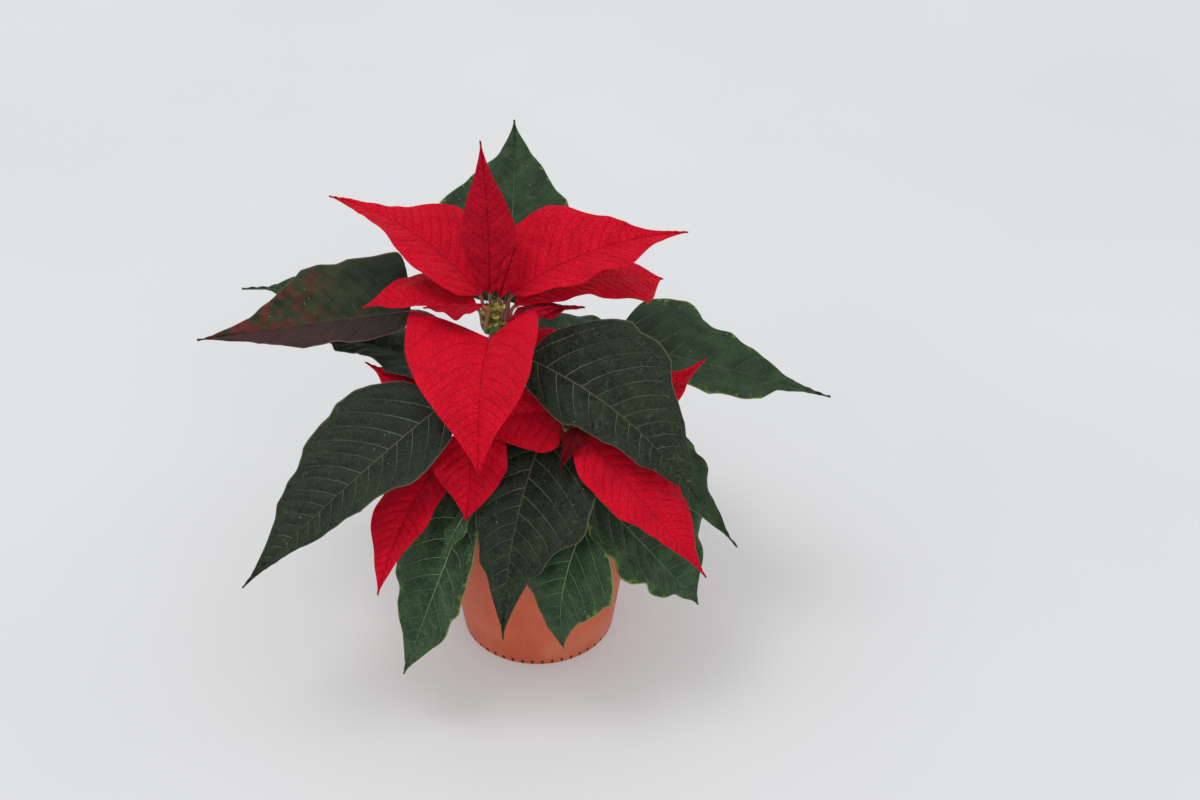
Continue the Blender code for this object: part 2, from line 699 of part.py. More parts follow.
def make_soil(where, cutters, brown):
    """Peat that fills the pot to below its collar, crowned and lumpy on top, with a hole for the stem."""
    floor = POT_GROOVE_RISE + POT_WALL + GAP
    wall = POT_WALL + GAP
    bottom_radius = pot_outer_radius(floor) - wall
    top_radius = pot_outer_radius(POT_SHOULDER) - wall - GAP
    edge = POT_SHOULDER - SOIL_DROP
    rings = []
    for i in range(SOIL_RINGS):
        radius = top_radius * (i + 1) / SOIL_RINGS
        rings.append((radius, edge + SOIL_CROWN * (1 - ((i + 1) / SOIL_RINGS) ** 2)))
    profile = [(0, edge + SOIL_CROWN)] + rings + [(bottom_radius, floor), (0, floor)]
    soil = baked(turned("soil", profile, POT_STEPS, where), where)
    for vertex in soil.data.vertices:
        radius = Vector(vertex.co.xy).length
        if vertex.co.z > edge and radius < top_radius - GAP:
            vertex.co.z += SOIL_ROUGHNESS * noise.noise(vertex.co / SOIL_LUMPS)
    foot, _, radius = stem_section(STEMS["main"], 0)
    hole = bmesh.new()
    bottom, top = foot.z - GAP, POT_HEIGHT
    add_rod(hole, Vector((0, 0, (top + bottom) / 2)), radius + 2 * GAP, top - bottom, 16)
    return painted(cut(soil, as_cutter(from_bmesh("stem_hole", hole, cutters))), brown)


def main():
    clear_scene()
    plant = collection("poinsettia")
    cutters = collection("cutters")
    clay = material("clay_plastic", (0.52, 0.12, 0.06, 1), 0.5)
    brown = material("peat", (0.05, 0.03, 0.02, 1), 0.95)
    green = material("stem_green", (0.10, 0.17, 0.05, 1), 0.5)
    lime = material("cyathium_green", (0.35, 0.42, 0.08, 1), 0.45)
    leaf_green = material("leaf_green", (0.030, 0.085, 0.035, 1), 0.45)
    bract_red = material("bract_red", (0.62, 0.010, 0.035, 1), 0.5)
    vary_margins([*LEAVES.values(), *BRACTS.values()])
    make_pot(plant, clay, cutters)
    make_soil(plant, cutters, brown)
    make_stems(plant, green)
    for stem, cups in CYATHIA.items():
        make_cyathia("cyathia_" + stem, stem, cups, plant, lime)
    for name, blade in LEAVES.items():
        make_blade(name, blade, LEAF_STALK_RADIUS, leaf_green, plant)
    for name, blade in BRACTS.items():
        make_blade(name, blade, BRACT_STALK_RADIUS, bract_red, plant)


main()
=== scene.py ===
# %% [markdown]
# A potted poinsettia
#
# This lesson dresses a small poinsettia in its pot. The plant is already there as rough solids, which fix
# how large everything is and where it stands. Here each solid is replaced by a finer piece of the same
# form: thin blades with veins, bent stalks, tiny flowers, a moulded pot and crumbly peat. The first cell
# loads the solids and keeps their box, so that the last one can print its size beside that of the finished
# plant.

# %% Load the solids
import math
from dataclasses import dataclass

import bmesh
import bpy
import numpy as np
from mathutils import Matrix, Vector, noise


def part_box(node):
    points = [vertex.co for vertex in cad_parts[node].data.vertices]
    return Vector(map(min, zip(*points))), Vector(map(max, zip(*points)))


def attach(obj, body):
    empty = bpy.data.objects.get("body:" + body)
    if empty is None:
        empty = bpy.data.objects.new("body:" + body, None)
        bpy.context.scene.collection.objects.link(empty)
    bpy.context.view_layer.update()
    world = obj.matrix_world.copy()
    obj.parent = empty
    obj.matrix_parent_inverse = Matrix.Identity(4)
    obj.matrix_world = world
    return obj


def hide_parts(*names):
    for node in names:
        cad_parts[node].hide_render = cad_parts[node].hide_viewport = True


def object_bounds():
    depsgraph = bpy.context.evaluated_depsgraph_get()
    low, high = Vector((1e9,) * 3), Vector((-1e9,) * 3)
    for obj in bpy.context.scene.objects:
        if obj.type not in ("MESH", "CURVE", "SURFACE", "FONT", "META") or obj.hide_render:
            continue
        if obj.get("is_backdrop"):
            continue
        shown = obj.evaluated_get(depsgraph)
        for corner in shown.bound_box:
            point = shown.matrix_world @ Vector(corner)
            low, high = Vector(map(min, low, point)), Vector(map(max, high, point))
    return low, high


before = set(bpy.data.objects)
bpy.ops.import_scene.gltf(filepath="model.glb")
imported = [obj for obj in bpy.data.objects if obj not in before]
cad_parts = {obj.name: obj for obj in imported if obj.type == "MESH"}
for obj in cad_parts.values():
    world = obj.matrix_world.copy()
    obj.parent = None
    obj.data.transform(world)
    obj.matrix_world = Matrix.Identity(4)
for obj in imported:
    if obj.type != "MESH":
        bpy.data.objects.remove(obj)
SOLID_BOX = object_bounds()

MM = 0.001
GOLDEN_ANGLE = math.radians(137.5)
print("solids to dress:", len(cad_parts))

# %% [markdown]
# Painting with nodes
#
# A living surface never has one flat colour, so every finish here is a small node tree. The same few
# nodes come back again and again: a measured distance that becomes a soft line, a noise that becomes a
# stain, a mix of two colours. Wiring them by name each time would hide the idea, so a Paint collects
# them. It wraps one Principled shader. Values that are the same all over are set on the shader itself,
# and only colour, roughness and bump are wired.


# %% A helper that wires a finish
def rgb(red, green, blue):
    return (red, green, blue, 1.0)


class Paint:
    """A material on one Principled shader; each call adds a node and gives back its output."""

    def __init__(self, name, specular, **values):
        self.material = bpy.data.materials.new(name)
        self.material.use_nodes = True
        self.tree = self.material.node_tree
        self.shader = self.tree.nodes["Principled BSDF"]
        self.shader.inputs["Specular IOR Level"].default_value = specular
        for label, value in values.items():
            self.shader.inputs[label.replace("_", " ").title()].default_value = value

    def node(self, kind, inputs, output=0, **settings):
        made = self.tree.nodes.new(kind)
        for key, value in settings.items():
            setattr(made, key, value)
        for key, value in inputs.items():
            if isinstance(value, bpy.types.NodeSocket):
                self.tree.links.new(value, made.inputs[key])
            else:
                made.inputs[key].default_value = value
        return made.outputs[output]

    def math(self, operation, a, b=0.0):
        return self.node("ShaderNodeMath", {0: a, 1: b}, operation=operation)

    def plus(self, a, b):
        return self.math("ADD", a, b)

    def minus(self, a, b):
        return self.math("SUBTRACT", a, b)

    def times(self, product, *others):
        for value in others:
            product = self.math("MULTIPLY", product, value)
        return product

    def split(self, vector):
        """The three numbers of a vector."""
        return self.node("ShaderNodeSeparateXYZ", {0: vector}).node.outputs

    def attribute(self, name):
        """The vector that a mesh carries at each point under this name."""
        return self.node("ShaderNodeAttribute", {}, "Vector", attribute_name=name)

    def position(self):
        """The point in space, in metres; nothing here moves, so a stain stays on its piece."""
        return self.node("ShaderNodeNewGeometry", {}, "Position")

    def noise(self, vector, scale, detail=3.0):
        return self.node("ShaderNodeTexNoise", {"Vector": vector, "Scale": scale, "Detail": detail})

    def cells(self, vector, scale, feature="DISTANCE_TO_EDGE"):
        inputs = {"Vector": vector, "Scale": scale}
        return self.node("ShaderNodeTexVoronoi", inputs, "Distance", feature=feature)

    def ramp(self, value, start, end, low=0.0, high=1.0):
        """Runs smoothly from low to high while value runs from start to end."""
        inputs = {"Value": value, "From Min": start, "From Max": end, "To Min": low, "To Max": high}
        return self.node("ShaderNodeMapRange", inputs, interpolation_type="SMOOTHSTEP")

    def mix(self, share, a, b):
        return self.node("ShaderNodeMix", {0: share, 6: a, 7: b}, 2, data_type="RGBA")

    def over(self, color, top, *masks):
        """Lays a top colour over a colour, as strongly as all the masks allow together."""
        return self.mix(self.times(*masks), color, top)

    def done(self, color, roughness, height=None, depth=0.0):
        """Wires the colour, the roughness and, from height in shares of depth, the bump."""
        links = self.tree.links
        links.new(color, self.shader.inputs["Base Color"])
        links.new(roughness, self.shader.inputs["Roughness"])
        if height is not None:
            bump = self.node("ShaderNodeBump", {"Strength": 1.0, "Distance": depth, "Height": height})
            links.new(bump, self.shader.inputs["Normal"])
        return self.material


def stained(name, specular, scale, detail, tones, gloss, depth=None, band=(0.35, 0.65), fleck=None, **values):
    """A finish of two tones of one noise, which also makes it rougher and bumpier; a fleck adds a third."""
    paint = Paint(name, specular, **values)
    where = paint.position()
    stain = paint.noise(where, scale, detail)
    color = paint.mix(paint.ramp(stain, *band), *tones)
    if fleck:
        fleck_scale, start, end, strength, third = fleck
        dots = paint.noise(where, fleck_scale)
        color = paint.over(color, third, paint.ramp(dots, start, end, 0.0, strength))
    return paint.done(color, paint.ramp(stain, 0.3, 0.7, *gloss), stain if depth else None, depth)


# %% [markdown]
# The stems
#
# A poinsettia that was pinched back when young has one short stem that forks. Each stem is a smooth line
# through a few points and thins upwards. Catmull-Rom is the simplest curve that passes through the points
# it is given, so the table reads as the plant does: from foot to top, in millimetres.


# %% Lines of the stems
@dataclass
class Stem:
    points: tuple
    foot_radius: float
    top_radius: float


STEMS = {
    "main": Stem(
        ((0, 0, 52), (0, 0, 80), (-3, 2, 110), (-10, 4, 140), (-16, 3, 165), (-18, 0, 184)), 4.6, 2.9
    ),
    "right": Stem(((-2, 1, 98), (6, -6, 104), (15, -16, 119), (20, -22, 137)), 3.4, 2.6),
    "left": Stem(((-1, 1, 91), (-11, -5, 100), (-24, -13, 115), (-31, -17, 131)), 3.4, 2.6),
}


def unit(vectors):
    return vectors / np.linalg.norm(vectors, axis=-1, keepdims=True)


def stem_section(stem, share):
    """Centre, direction and radius of a stem, in millimetres, at a share of its way up."""
    knots = np.array(stem.points, float)
    last = len(knots) - 1
    place = min(max(share, 0.0), 1.0) * last
    i = min(int(place), last - 1)
    u = place - i
    before, here, there, after = knots[max(i - 1, 0)], knots[i], knots[i + 1], knots[min(i + 2, last)]
    linear = there - before
    square = 2 * before - 5 * here + 4 * there - after
    cube = 3 * here - before - 3 * there + after
    point = here + 0.5 * (linear * u + square * u**2 + cube * u**3)
    way = unit(0.5 * (linear + 2 * square * u + 3 * cube * u**2))
    return point, way, stem.foot_radius + (stem.top_radius - stem.foot_radius) * share


def share_at_height(stem, height):
    """How far up its own length a stem reaches a height above the table, found by halving."""
    low, high = 0.0, 1.0
    for _ in range(30):
        middle = (low + high) / 2
        if stem_section(stem, middle)[0][2] < height:
            low = middle
        else:
            high = middle
    return low


print("fork heights:", [stem.points[0][2] for stem in STEMS.values()])

# %% [markdown]
# The blades
#
# A bract is a leaf that turned red, so leaves and bracts share one recipe. Each is set down by where its
# stalk becomes blade, where its tip is, and how far its margins lie from the midrib at seven shares of
# the length. Left and right have their own distances, because a blade that is seen slantwise, or that
# rolls, is never even. The rest says how it bends: arch and sweep of the midrib, roll about it, the fold
# of the two halves, the droop and the waves of the margins, and the teeth that poinsettia leaves have.


# %% What describes a blade
STATIONS = np.array([0.0, 0.1, 0.25, 0.4, 0.6, 0.8, 1.0])  # shares of the length for the half-widths


@dataclass
class Blade:
    """Places and sizes in millimetres, angles in degrees."""

    stem: str
    height: float  # where the stalk leaves the stem
    base: tuple  # where the stalk becomes the blade
    tip: tuple
    left: tuple  # distances from midrib to left margin at STATIONS
    right: tuple
    arch: float = 8.0
    sweep: float = 0.0
    roll: float = 0.0  # the right half dips
    fold: float = 14.0  # how much each half rises from flat
    droop: float = 2.0
    wave: float = 1.5  # height of the waves along the margins
    waves: float = 2.5
    phase: float = 0.0
    face: tuple = (0, 0, 1)  # the way the upper side looks
    lobe: float = 0.0  # how far the margins sweep back past the base
    lean: float = 0.5  # how steeply the stalk climbs as it leaves the stem
    leave: float = 0.0  # where round the stem the stalk leaves it
    teeth: tuple = ()  # each (share of the length, height on the left, height on the right)


# %% [markdown]
# The table of blades
#
# The table is plain text, so that it reads as a table. A row gives the blade's name, the stem it grows
# from and the height there; where the stalk becomes the blade; the tip; the left half-widths and the
# right ones; how it bends; and last each tooth, as a share of the length and a height on either side. A
# row that is too long goes on below, two spaces in.


# %% Read a table of blades
FACES_FRONT = (0, -1, 0.5)


def numbers(text):
    return tuple(float(word) for word in text.split())


def read_blades(prefix, table):
    made = {}
    for row in table.replace("\n  ", " ").strip().splitlines():
        start, base, tip, left, right, bends, *teeth = row.split(";")
        name, stem, height = start.split()
        blade = Blade(stem, float(height), numbers(base), numbers(tip), numbers(left), numbers(right))
        for bend in bends.split():
            key, value = bend.split("=")
            setattr(blade, key, float(value))
        blade.teeth = [numbers(tooth) for tooth in teeth]
        made[prefix + name] = blade
    return made


BRACTS = read_blades("bract_", """
main_back_left main 178; -24.5 9 189.5; -96 45 221; 17 21 20 14 7; 21 28 27 13 4; arch=7 sweep=3 leave=150
main_upright main 180; -20 6.5 192; -24 41 253; 7 11 13 10 4; 7 11 13 9 3; arch=6 sweep=1.5 leave=105
main_inner main 182; -15.5 3.5 192; -7 10.5 217; 2 3 4 4 2; 3 5 6 5 3; arch=2 fold=30 leave=45
main_back_right main 177; -10 9.5 189.5; 72 26 213; 27 31 29 15 4; 10 16 19 19 8;
  arch=8 roll=15 fold=18 leave=25
main_right main 172; -8.5 5.5 186; 61 37 180; 7 13 14 15 12; 5 8 10 14 18; arch=7 roll=10 fold=4 leave=-8
main_right_low main 178; -12 -2 181.5; 24 11 181; 3 10 13 8 3; 2 4 4 3 2; arch=2 roll=-4 fold=8 leave=-38
main_front_small main 174; -11 -6 183; 12 3 186; 1 3 3 3 2; 1 2 3 3 2; arch=2 roll=30 leave=-55
main_front main 176; -20 -13 180; -23 -76 148; 24 28 27 19 8; 39 38 32 20 8;
  arch=7 sweep=1.5 roll=12 fold=20 lobe=16 leave=-95
main_left main 175; -26 3 186.5; -79 -3 190; 3 4 4 4 2; 14 21 22 19 8; arch=4 fold=10 leave=-175
main_left_low main 176; -22.5 -7.5 194.5; -50 -6.5 192.5; 3 6 7 6 2; 2 3 3 3 2; arch=0 fold=4 leave=-140
right_front right 130; 24 -29 136; 80 -74 88; 12 19 24 21 9; 15 20 18 12 4; arch=6 sweep=4 fold=8 leave=-35
right_side right 132; 28 -21 139; 81 -3 162; 8 14 16 12 5; 9 15 17 14 5; arch=-6 leave=20
right_back right 131; 17 -9 141; -4 27 158; 12 16 15 11 5; 12 16 18 17 11; arch=6 leave=120
right_left right 133; 13 -18 140; -30 -30 138; 19 22 20 16 8; 7 9 13 13 7; arch=5 roll=-30 leave=-170
right_inner right 126; 21 -32.5 143; 13 -48 131; 6 8 7 4 2; 4 5 5 3 1; arch=2 leave=-105
left_front left 126; -31 -28 137; -31 -60 110; 13 18 18 14 7; 13 18 18 14 6; arch=4 sweep=-2 leave=-90
left_side left 122; -37 -25 127; -71 -83 85; 7 12 13 11 5; 6 12 16 15 7; arch=5 sweep=3 leave=-130
left_back left 127; -37 -10 134; -82 22 142; 8 13 15 11 4; 7 12 14 11 4; arch=0 leave=150
""")
for name in ("bract_main_upright", "bract_main_inner"):
    BRACTS[name].face = FACES_FRONT

# %% The leaves: first those in sight from the front, and from rear_right on those behind and beside
LEAVES = read_blades("leaf_", """
back main 158; -15 50 159; -12 134 212; 22 35 39 22 7; 16 27 29 19 7; arch=8 sweep=2 lobe=7 leave=92;
  0.3 2 1; 0.5 1 2; 0.7 1 1
left main 154; -59 26 169; -163 29 150; 12 14 14 11 5; 32 29 30 18 5; arch=1 roll=-25 lobe=4 leave=175;
  0.3 1 2; 0.5 1 2; 0.7 1 1
left_back main 144; -67 54 152; -147 74 150; 12 18 18 14 4; 12 20 20 12 3; arch=4 leave=165;
  0.3 2 1; 0.5 1 2
left_low main 122; -43 17 141; -112 56 138; 18 17 13 12 9; 12 16 18 14 8; arch=2 leave=150;
  0.3 2 1; 0.5 2 2; 0.7 3 1
front_left main 137; -40 -27 154; -132 -86 92; 22 25 20 14 6; 26 34 33 22 9; arch=3 roll=-10 leave=-150;
  0.3 2 1.5; 0.5 2 2; 0.7 1 1.5
front_right main 148; -3 -6 164; 78 -54 115; 22 34 37 24 10; 15 19 17 13 7; arch=11 roll=32 leave=-60;
  0.3 3 2; 0.5 3 1; 0.7 1 2
right main 135; 37 34 146; 141 3 135; 30 33 23 14 5; 14 19 21 18 6; arch=1 roll=8 leave=35;
  0.3 2 1; 0.5 2 2; 0.72 1 5
right_back main 128; -2 38 142; 46 62 132; 12 17 17 12 5; 8 11 11 8 4; arch=4 leave=75; 0.4 1 1
right_side right 122; 50 -5 125.5; 96 -43 80.5; 9 17 15 9 3; 9 16 17 11 3; arch=6 sweep=5 leave=-10;
  0.3 1 1; 0.5 1.5 1
right_low main 88; 24 -36 112; 78 -49 50; 17 27 32 35 25; 14 24 26 21 9;
  arch=4 sweep=4 roll=12 wave=2.5 waves=4 lobe=4 leave=-30 lean=0.9; 0.3 2 2; 0.5 2 3; 0.72 6 3
front main 104; 4 -23 130; -14 -85 60; 28 36 35 18 7; 15 20 19 14 6; arch=10 sweep=2 leave=-80;
  0.3 1 1; 0.48 3 1; 0.65 3 2
front_low main 92; 23 -57 103; 14 -68 39; 24 30 27 15 6; 16 22 21 16 8; arch=8 leave=-62 lean=0.1;
  0.35 3 1; 0.55 1 2
front_low_left left 97; -31 -44 105; -62 -76 30; 10 14 19 18 9; 26 29 26 18 7;
  arch=6 sweep=-4 lobe=11 leave=-125 lean=0; 0.3 1 2; 0.5 3 2; 0.7 1 1
front_small main 102; -28 -50 112; -43 -67 91; 3 4 5 4 2; 4 5 5 4 2; arch=2 leave=-116 lean=0.2
rear_right main 116; 22 40 114; 86 92 92; 16 23 24 18 8; 16 23 24 18 8; leave=48; 0.3 2 1; 0.5 1 2; 0.7 1 1
rear_left main 110; -32 38 108; -82 100 84; 16 23 24 18 8; 16 23 24 18 8; leave=125;
  0.3 1 2; 0.5 2 1; 0.7 1 1
rear_low main 98; 2 42 104; 8 112 70; 15 22 23 17 8; 15 22 23 17 8; leave=88 lean=0.2; 0.3 1 2; 0.5 2 2
side_low main 90; 40 16 100; 72 46 66; 14 18 18 14 6; 14 16 16 12 5; leave=20 lean=0.2; 0.4 1 1
left_side_low left 108; -46 -6 112; -96 12 80; 14 20 21 16 7; 14 20 21 16 7; leave=175 lean=0.2;
  0.35 2 1; 0.6 1 1
""")
print("bracts:", len(BRACTS), "leaves:", len(LEAVES))

# %% [markdown]
# From numbers to a surface
#
# A grid is the natural start for a blade: one direction runs along the midrib and the other from margin
# to margin. Blender makes the flat grid, and a formula then moves every point at once with numpy, which
# is quick even for a hundred thousand points. The line through the half-widths is a cubic that never
# overshoots, so a narrow blade doesn't grow a bulge that nobody asked for.


# %% The outline of a blade
BASE_BULGE = 2.2  # how full a blade's base is
TIP_TAPER = 0.45  # under 1 draws the tip out into a thin point
LEAST_HALF_WIDTH = 0.6  # at the tip, in millimetres
TOOTH_RISE = 0.16  # share of the length over which a tooth rises
TOOTH_FALL = 0.05  # and falls
LOBE_SHARE = 0.1  # share of the length where a lobe reaches furthest back
MARGINS_APART = 1.4  # how far the waves of the two margins are out of step, in radians
WAVES_SPREAD = 0.7


def smooth_through(values, at):
    """A smooth line through values at STATIONS that never overshoots them, read at an array of shares."""
    values = np.array(values, float)
    lengths = np.diff(STATIONS)
    steps = np.diff(values) / lengths
    slopes = np.zeros(len(values))
    slopes[0] = BASE_BULGE * steps[0]
    slopes[-1] = TIP_TAPER * steps[-1]
    for k in range(1, len(values) - 1):
        if steps[k - 1] * steps[k] > 0:
            slopes[k] = 2 * steps[k - 1] * steps[k] / (steps[k - 1] + steps[k])
    i = np.clip(np.searchsorted(STATIONS, at, side="right") - 1, 0, len(lengths) - 1)
    u = (at - STATIONS[i]) / lengths[i]
    eased = values[i] + (values[i + 1] - values[i]) * u * u * (3 - 2 * u)
    return eased + lengths[i] * (slopes[i] * u * (1 - u) ** 2 - slopes[i + 1] * u * u * (1 - u))


def half_width(blade, hand, share):
    """Distance from the midrib to the margin on one hand, -1 left and 1 right, with its teeth."""
    reach = smooth_through((0, *(blade.right if hand > 0 else blade.left), 0), share)
    for at, left, right in blade.teeth:
        height = right if hand > 0 else left
        rising = np.clip((share - at + TOOTH_RISE) / TOOTH_RISE, 0, 1) ** 1.5 * (share <= at)
        falling = np.clip(1 - (share - at) / TOOTH_FALL, 0, 1) * (share > at)
        reach = reach + height * (rising + falling)
    return np.maximum(reach, LEAST_HALF_WIDTH * (1.6 - share))


def midrib(blade, share):
    """Points of the midrib and, at each, the directions along it, across to the right, and up."""
    base, tip = np.array(blade.base, float), np.array(blade.tip, float)
    along = unit(tip - base)
    face = np.array(blade.face, float)
    up = unit(face - face.dot(along) * along)
    across = np.cross(along, up)
    bend = up * blade.arch + across * blade.sweep
    s = np.atleast_1d(share)[:, None]
    point = base + (tip - base) * s + bend * 4 * s * (1 - s)
    way = unit(tip - base + bend * 4 * (1 - 2 * s))
    turn = math.radians(blade.roll)
    side = unit(np.cross(way, up * math.cos(turn) + across * math.sin(turn)))
    return point, way, side, np.cross(side, way)


def blade_length(blade):
    return float(np.linalg.norm(np.subtract(blade.tip, blade.base)))


print("length of the front bract:", round(blade_length(BRACTS["bract_main_front"])), "mm")

# %% [markdown]
# Veins and quilting
#
# Side veins leave the midrib at a steep angle, curve towards the tip and crowd together as the blade
# narrows. Between them the tissue puffs up, because it grows faster than the veins do. One number says
# both: a vein count that rises along the blade and is a whole number on each vein. The mesh uses it to
# raise the pillows, and the finish uses the same number to draw the veins, so they always lie in the
# valleys.

# %% Where the veins run
LEAF_VEINS_APART = 7.5  # millimetres from one side vein to the next
BRACT_VEINS_APART = 4.8
VEIN_SLANT = 0.45  # how far a side vein leans towards the tip as it leaves the midrib
VEIN_CURL = 0.40  # and how much more by the margin
VEIN_CROWDING = 0.3  # how much closer the veins lie near the tip
VEINS_ALTERNATE = 0.45  # left and right veins don't meet at the midrib
CRUMPLE = 0.6  # height of the shallow folds, in millimetres
CRUMPLE_LENGTH = 2.6  # their spacing along the blade, and across it
CRUMPLE_WIDTH = 3.4


def vein_number(blade, apart, share, across, reach):
    """Rises along the blade and is whole on each side vein; apart is their usual distance in millimetres."""
    length = blade_length(blade)
    start = share * length - reach * (VEIN_SLANT + VEIN_CURL * np.abs(across))
    start = np.where(start < 0, start * 0.35, start) / length
    return length / apart * ((1 - VEIN_CROWDING) * start + VEIN_CROWDING * start * np.abs(start))


def quilt(veins, across, depth):
    """Height of the pillows between the veins: none at the midrib and at the margin."""
    numbers = veins + VEINS_ALTERNATE * (across > 0)
    pillow = np.abs(np.sin(math.pi * numbers)) ** 0.8
    inside = np.clip(np.abs(across) / 0.25, 0, 1) * np.clip((1 - np.abs(across)) / 0.2, 0, 1)
    return depth * pillow * inside


def crumple(blade, along, sideways):
    """Shallow folds a centimetre or so apart, different on every blade, for places in millimetres."""
    start = blade.phase
    ridges = np.sin(along / CRUMPLE_LENGTH + 1.3 * np.sin(sideways / CRUMPLE_WIDTH + start) + start)
    furrows = np.sin(sideways / CRUMPLE_WIDTH * 1.3 + 1.1 * np.sin(along / CRUMPLE_LENGTH * 0.6 + 2 * start))
    return ridges * furrows


def blade_surface(blade, share, across, growth):
    """Points of the upper side for arrays of shares along and shares across, and what the finish needs."""
    point, way, side, up = midrib(blade, share)
    hand = np.where(across > 0, 1, -1)
    margin = np.where(across > 0, half_width(blade, 1, share), half_width(blade, -1, share))
    widest = np.where(across > 0, max(blade.right), max(blade.left))
    reach = np.abs(across) * margin
    fold = math.radians(blade.fold)
    ripple = np.sin(math.tau * blade.waves * share + blade.phase + MARGINS_APART * hand)
    lift = reach * math.sin(fold) - blade.droop * (reach / widest) ** 2
    lift = lift + blade.wave * ripple * across**2 * np.sin(math.pi * share)
    veins = vein_number(blade, growth.apart, share, across, reach)
    inside = np.clip(np.abs(across) / 0.2, 0, 1) * np.sin(math.pi * np.clip(share, 0, 1))
    lift = lift + quilt(veins, across, growth.pillow)
    lift = lift + CRUMPLE * inside * crumple(blade, share * blade_length(blade), hand * reach)
    swept = share / LOBE_SHARE
    back = blade.lobe * np.abs(across) * swept * np.exp(1 - swept)
    outward = hand * reach * math.cos(fold)
    places = point + side * outward[:, None] + up * lift[:, None] - way * back[:, None]
    return places, [share, across, veins], [hand * reach, share * blade_length(blade)]


# Spread the number and the place of the margins' waves over the blades, so that no two are alike
ALL_BLADES = [*LEAVES.values(), *BRACTS.values()]
for i, blade in enumerate(ALL_BLADES):
    blade.phase = GOLDEN_ANGLE * i
    blade.waves += WAVES_SPREAD * math.sin(GOLDEN_ANGLE * 3 * i)
large_leaf = blade_length(LEAVES["leaf_front_left"])
print("side veins on the large left leaf:", round(large_leaf / LEAF_VEINS_APART))

# %% [markdown]
# Making the sheet
#
# Solidify gives the sheet its thickness, and its rib group thickens the middle downwards, as a real
# midrib stands out below. Two vectors are stored on the points: "blade" holds the share along, the share
# across and the vein count, and "place" holds millimetres from the midrib, millimetres along and the
# blade's own number, so that no two blades have the same net of fine veins. Solidify also puts the second
# material on the underside.

# %% Grid, bend and thicken
ROW_LENGTH = 1.1  # millimetres between rows along the midrib
COLUMN_WIDTH = 1.3  # and between columns across
FEWEST = 16


def mesh_from(edit, name):
    mesh = bpy.data.meshes.new(name)
    edit.to_mesh(mesh)
    edit.free()
    return mesh


def store(mesh, name, columns):
    """Keeps a vector at each point of the mesh, for the finish to read."""
    kept = mesh.attributes.new(name, "FLOAT_VECTOR", "POINT")
    kept.data.foreach_set("vector", np.column_stack(columns).astype("f").ravel())


def flat_grid(name, columns, rows):
    edit = bmesh.new()
    bmesh.ops.create_grid(edit, x_segments=columns, y_segments=rows, size=1)
    return mesh_from(edit, name)


def show(name, data):
    made = bpy.data.objects.new(name, data)
    bpy.context.scene.collection.objects.link(made)
    return made


def applied(obj):
    """Replaces the object's mesh or curve by what its modifiers or its bevel make of it."""
    bpy.context.view_layer.update()
    mesh = bpy.data.meshes.new_from_object(obj.evaluated_get(bpy.context.evaluated_depsgraph_get()))
    name = obj.name
    bpy.data.objects.remove(obj)
    mesh.name = name
    return show(name, mesh)


def sheet(name, blade, number, growth):
    """The blade as a thin solid with its veins raised, in millimetres throughout."""
    columns = max(FEWEST, 2 * round((max(blade.left) + max(blade.right)) / COLUMN_WIDTH / 2))
    rows = max(FEWEST, round(blade_length(blade) / ROW_LENGTH))
    mesh = flat_grid(name, columns, rows)
    flat = np.empty(len(mesh.vertices) * 3)
    mesh.vertices.foreach_get("co", flat)
    across, share = flat[0::3], (flat[1::3] + 1) / 2
    across = np.where(np.abs(across) < 1e-4, 0.0, across)
    places, along_blade, in_place = blade_surface(blade, share, across, growth)
    mesh.vertices.foreach_set("co", (places * MM).ravel())
    store(mesh, "blade", along_blade)
    store(mesh, "place", [*in_place, np.full(len(share), float(number))])
    made = show(name, mesh)
    ridge = made.vertex_groups.new(name="rib")
    for i in np.flatnonzero(across == 0.0):
        ridge.add([int(i)], float(1 - share[i] ** 2), "REPLACE")
    solidify = made.modifiers.new("thickness", "SOLIDIFY")
    solidify.thickness = growth.rib * MM
    solidify.thickness_vertex_group = growth.thickness / growth.rib
    solidify.vertex_group = "rib"
    solidify.offset = -1
    solidify.material_offset = 1
    return made


# %% [markdown]
# Stalks
#
# A stalk starts square to the stem, swings up and comes in under the blade along its midrib. A Bezier
# curve with four handles does just that. It becomes a Blender curve with a bevel, which is the easiest
# round tube, a little thicker where it meets the stem. The solids end their stalks a hair's breadth off
# the stem, and so does this one, with a swelling on the stem that hides the gap.

# %% The line and the tube of a stalk
STALK_GAP = 0.35
STALK_ROOT = 1.0
STALK_OVERLAP = 0.10  # share of the blade that the stalk runs under
STALK_POINTS = 14


def stalk_line(blade, growth):
    """Points from the stem to a little way under the blade."""
    stem = STEMS[blade.stem]
    centre, way, stem_radius = stem_section(stem, share_at_height(stem, blade.height))
    point, blade_way, _, blade_up = midrib(blade, np.array([0.0, STALK_OVERLAP]))
    angle = math.radians(blade.leave)
    out = np.array([math.cos(angle), math.sin(angle), 0.0])
    out = unit(out - out.dot(way) * way)
    root = centre + out * (stem_radius + STALK_GAP)
    start = root + out * STALK_ROOT
    sunk = growth.stalk_radius * 0.6 + growth.thickness / 2
    end = point[0] - blade_up[0] * sunk
    reach = np.linalg.norm(end - start) / 3
    bend_1 = start + unit(out + way * blade.lean) * reach
    bend_2 = end - blade_way[0] * reach
    u = np.linspace(0, 1, STALK_POINTS)[:, None]
    v = 1 - u
    curve = start * v**3 + bend_1 * 3 * u * v**2 + bend_2 * 3 * u * u * v + end * u**3
    return np.vstack([root, curve, point[1] - blade_up[1] * sunk])


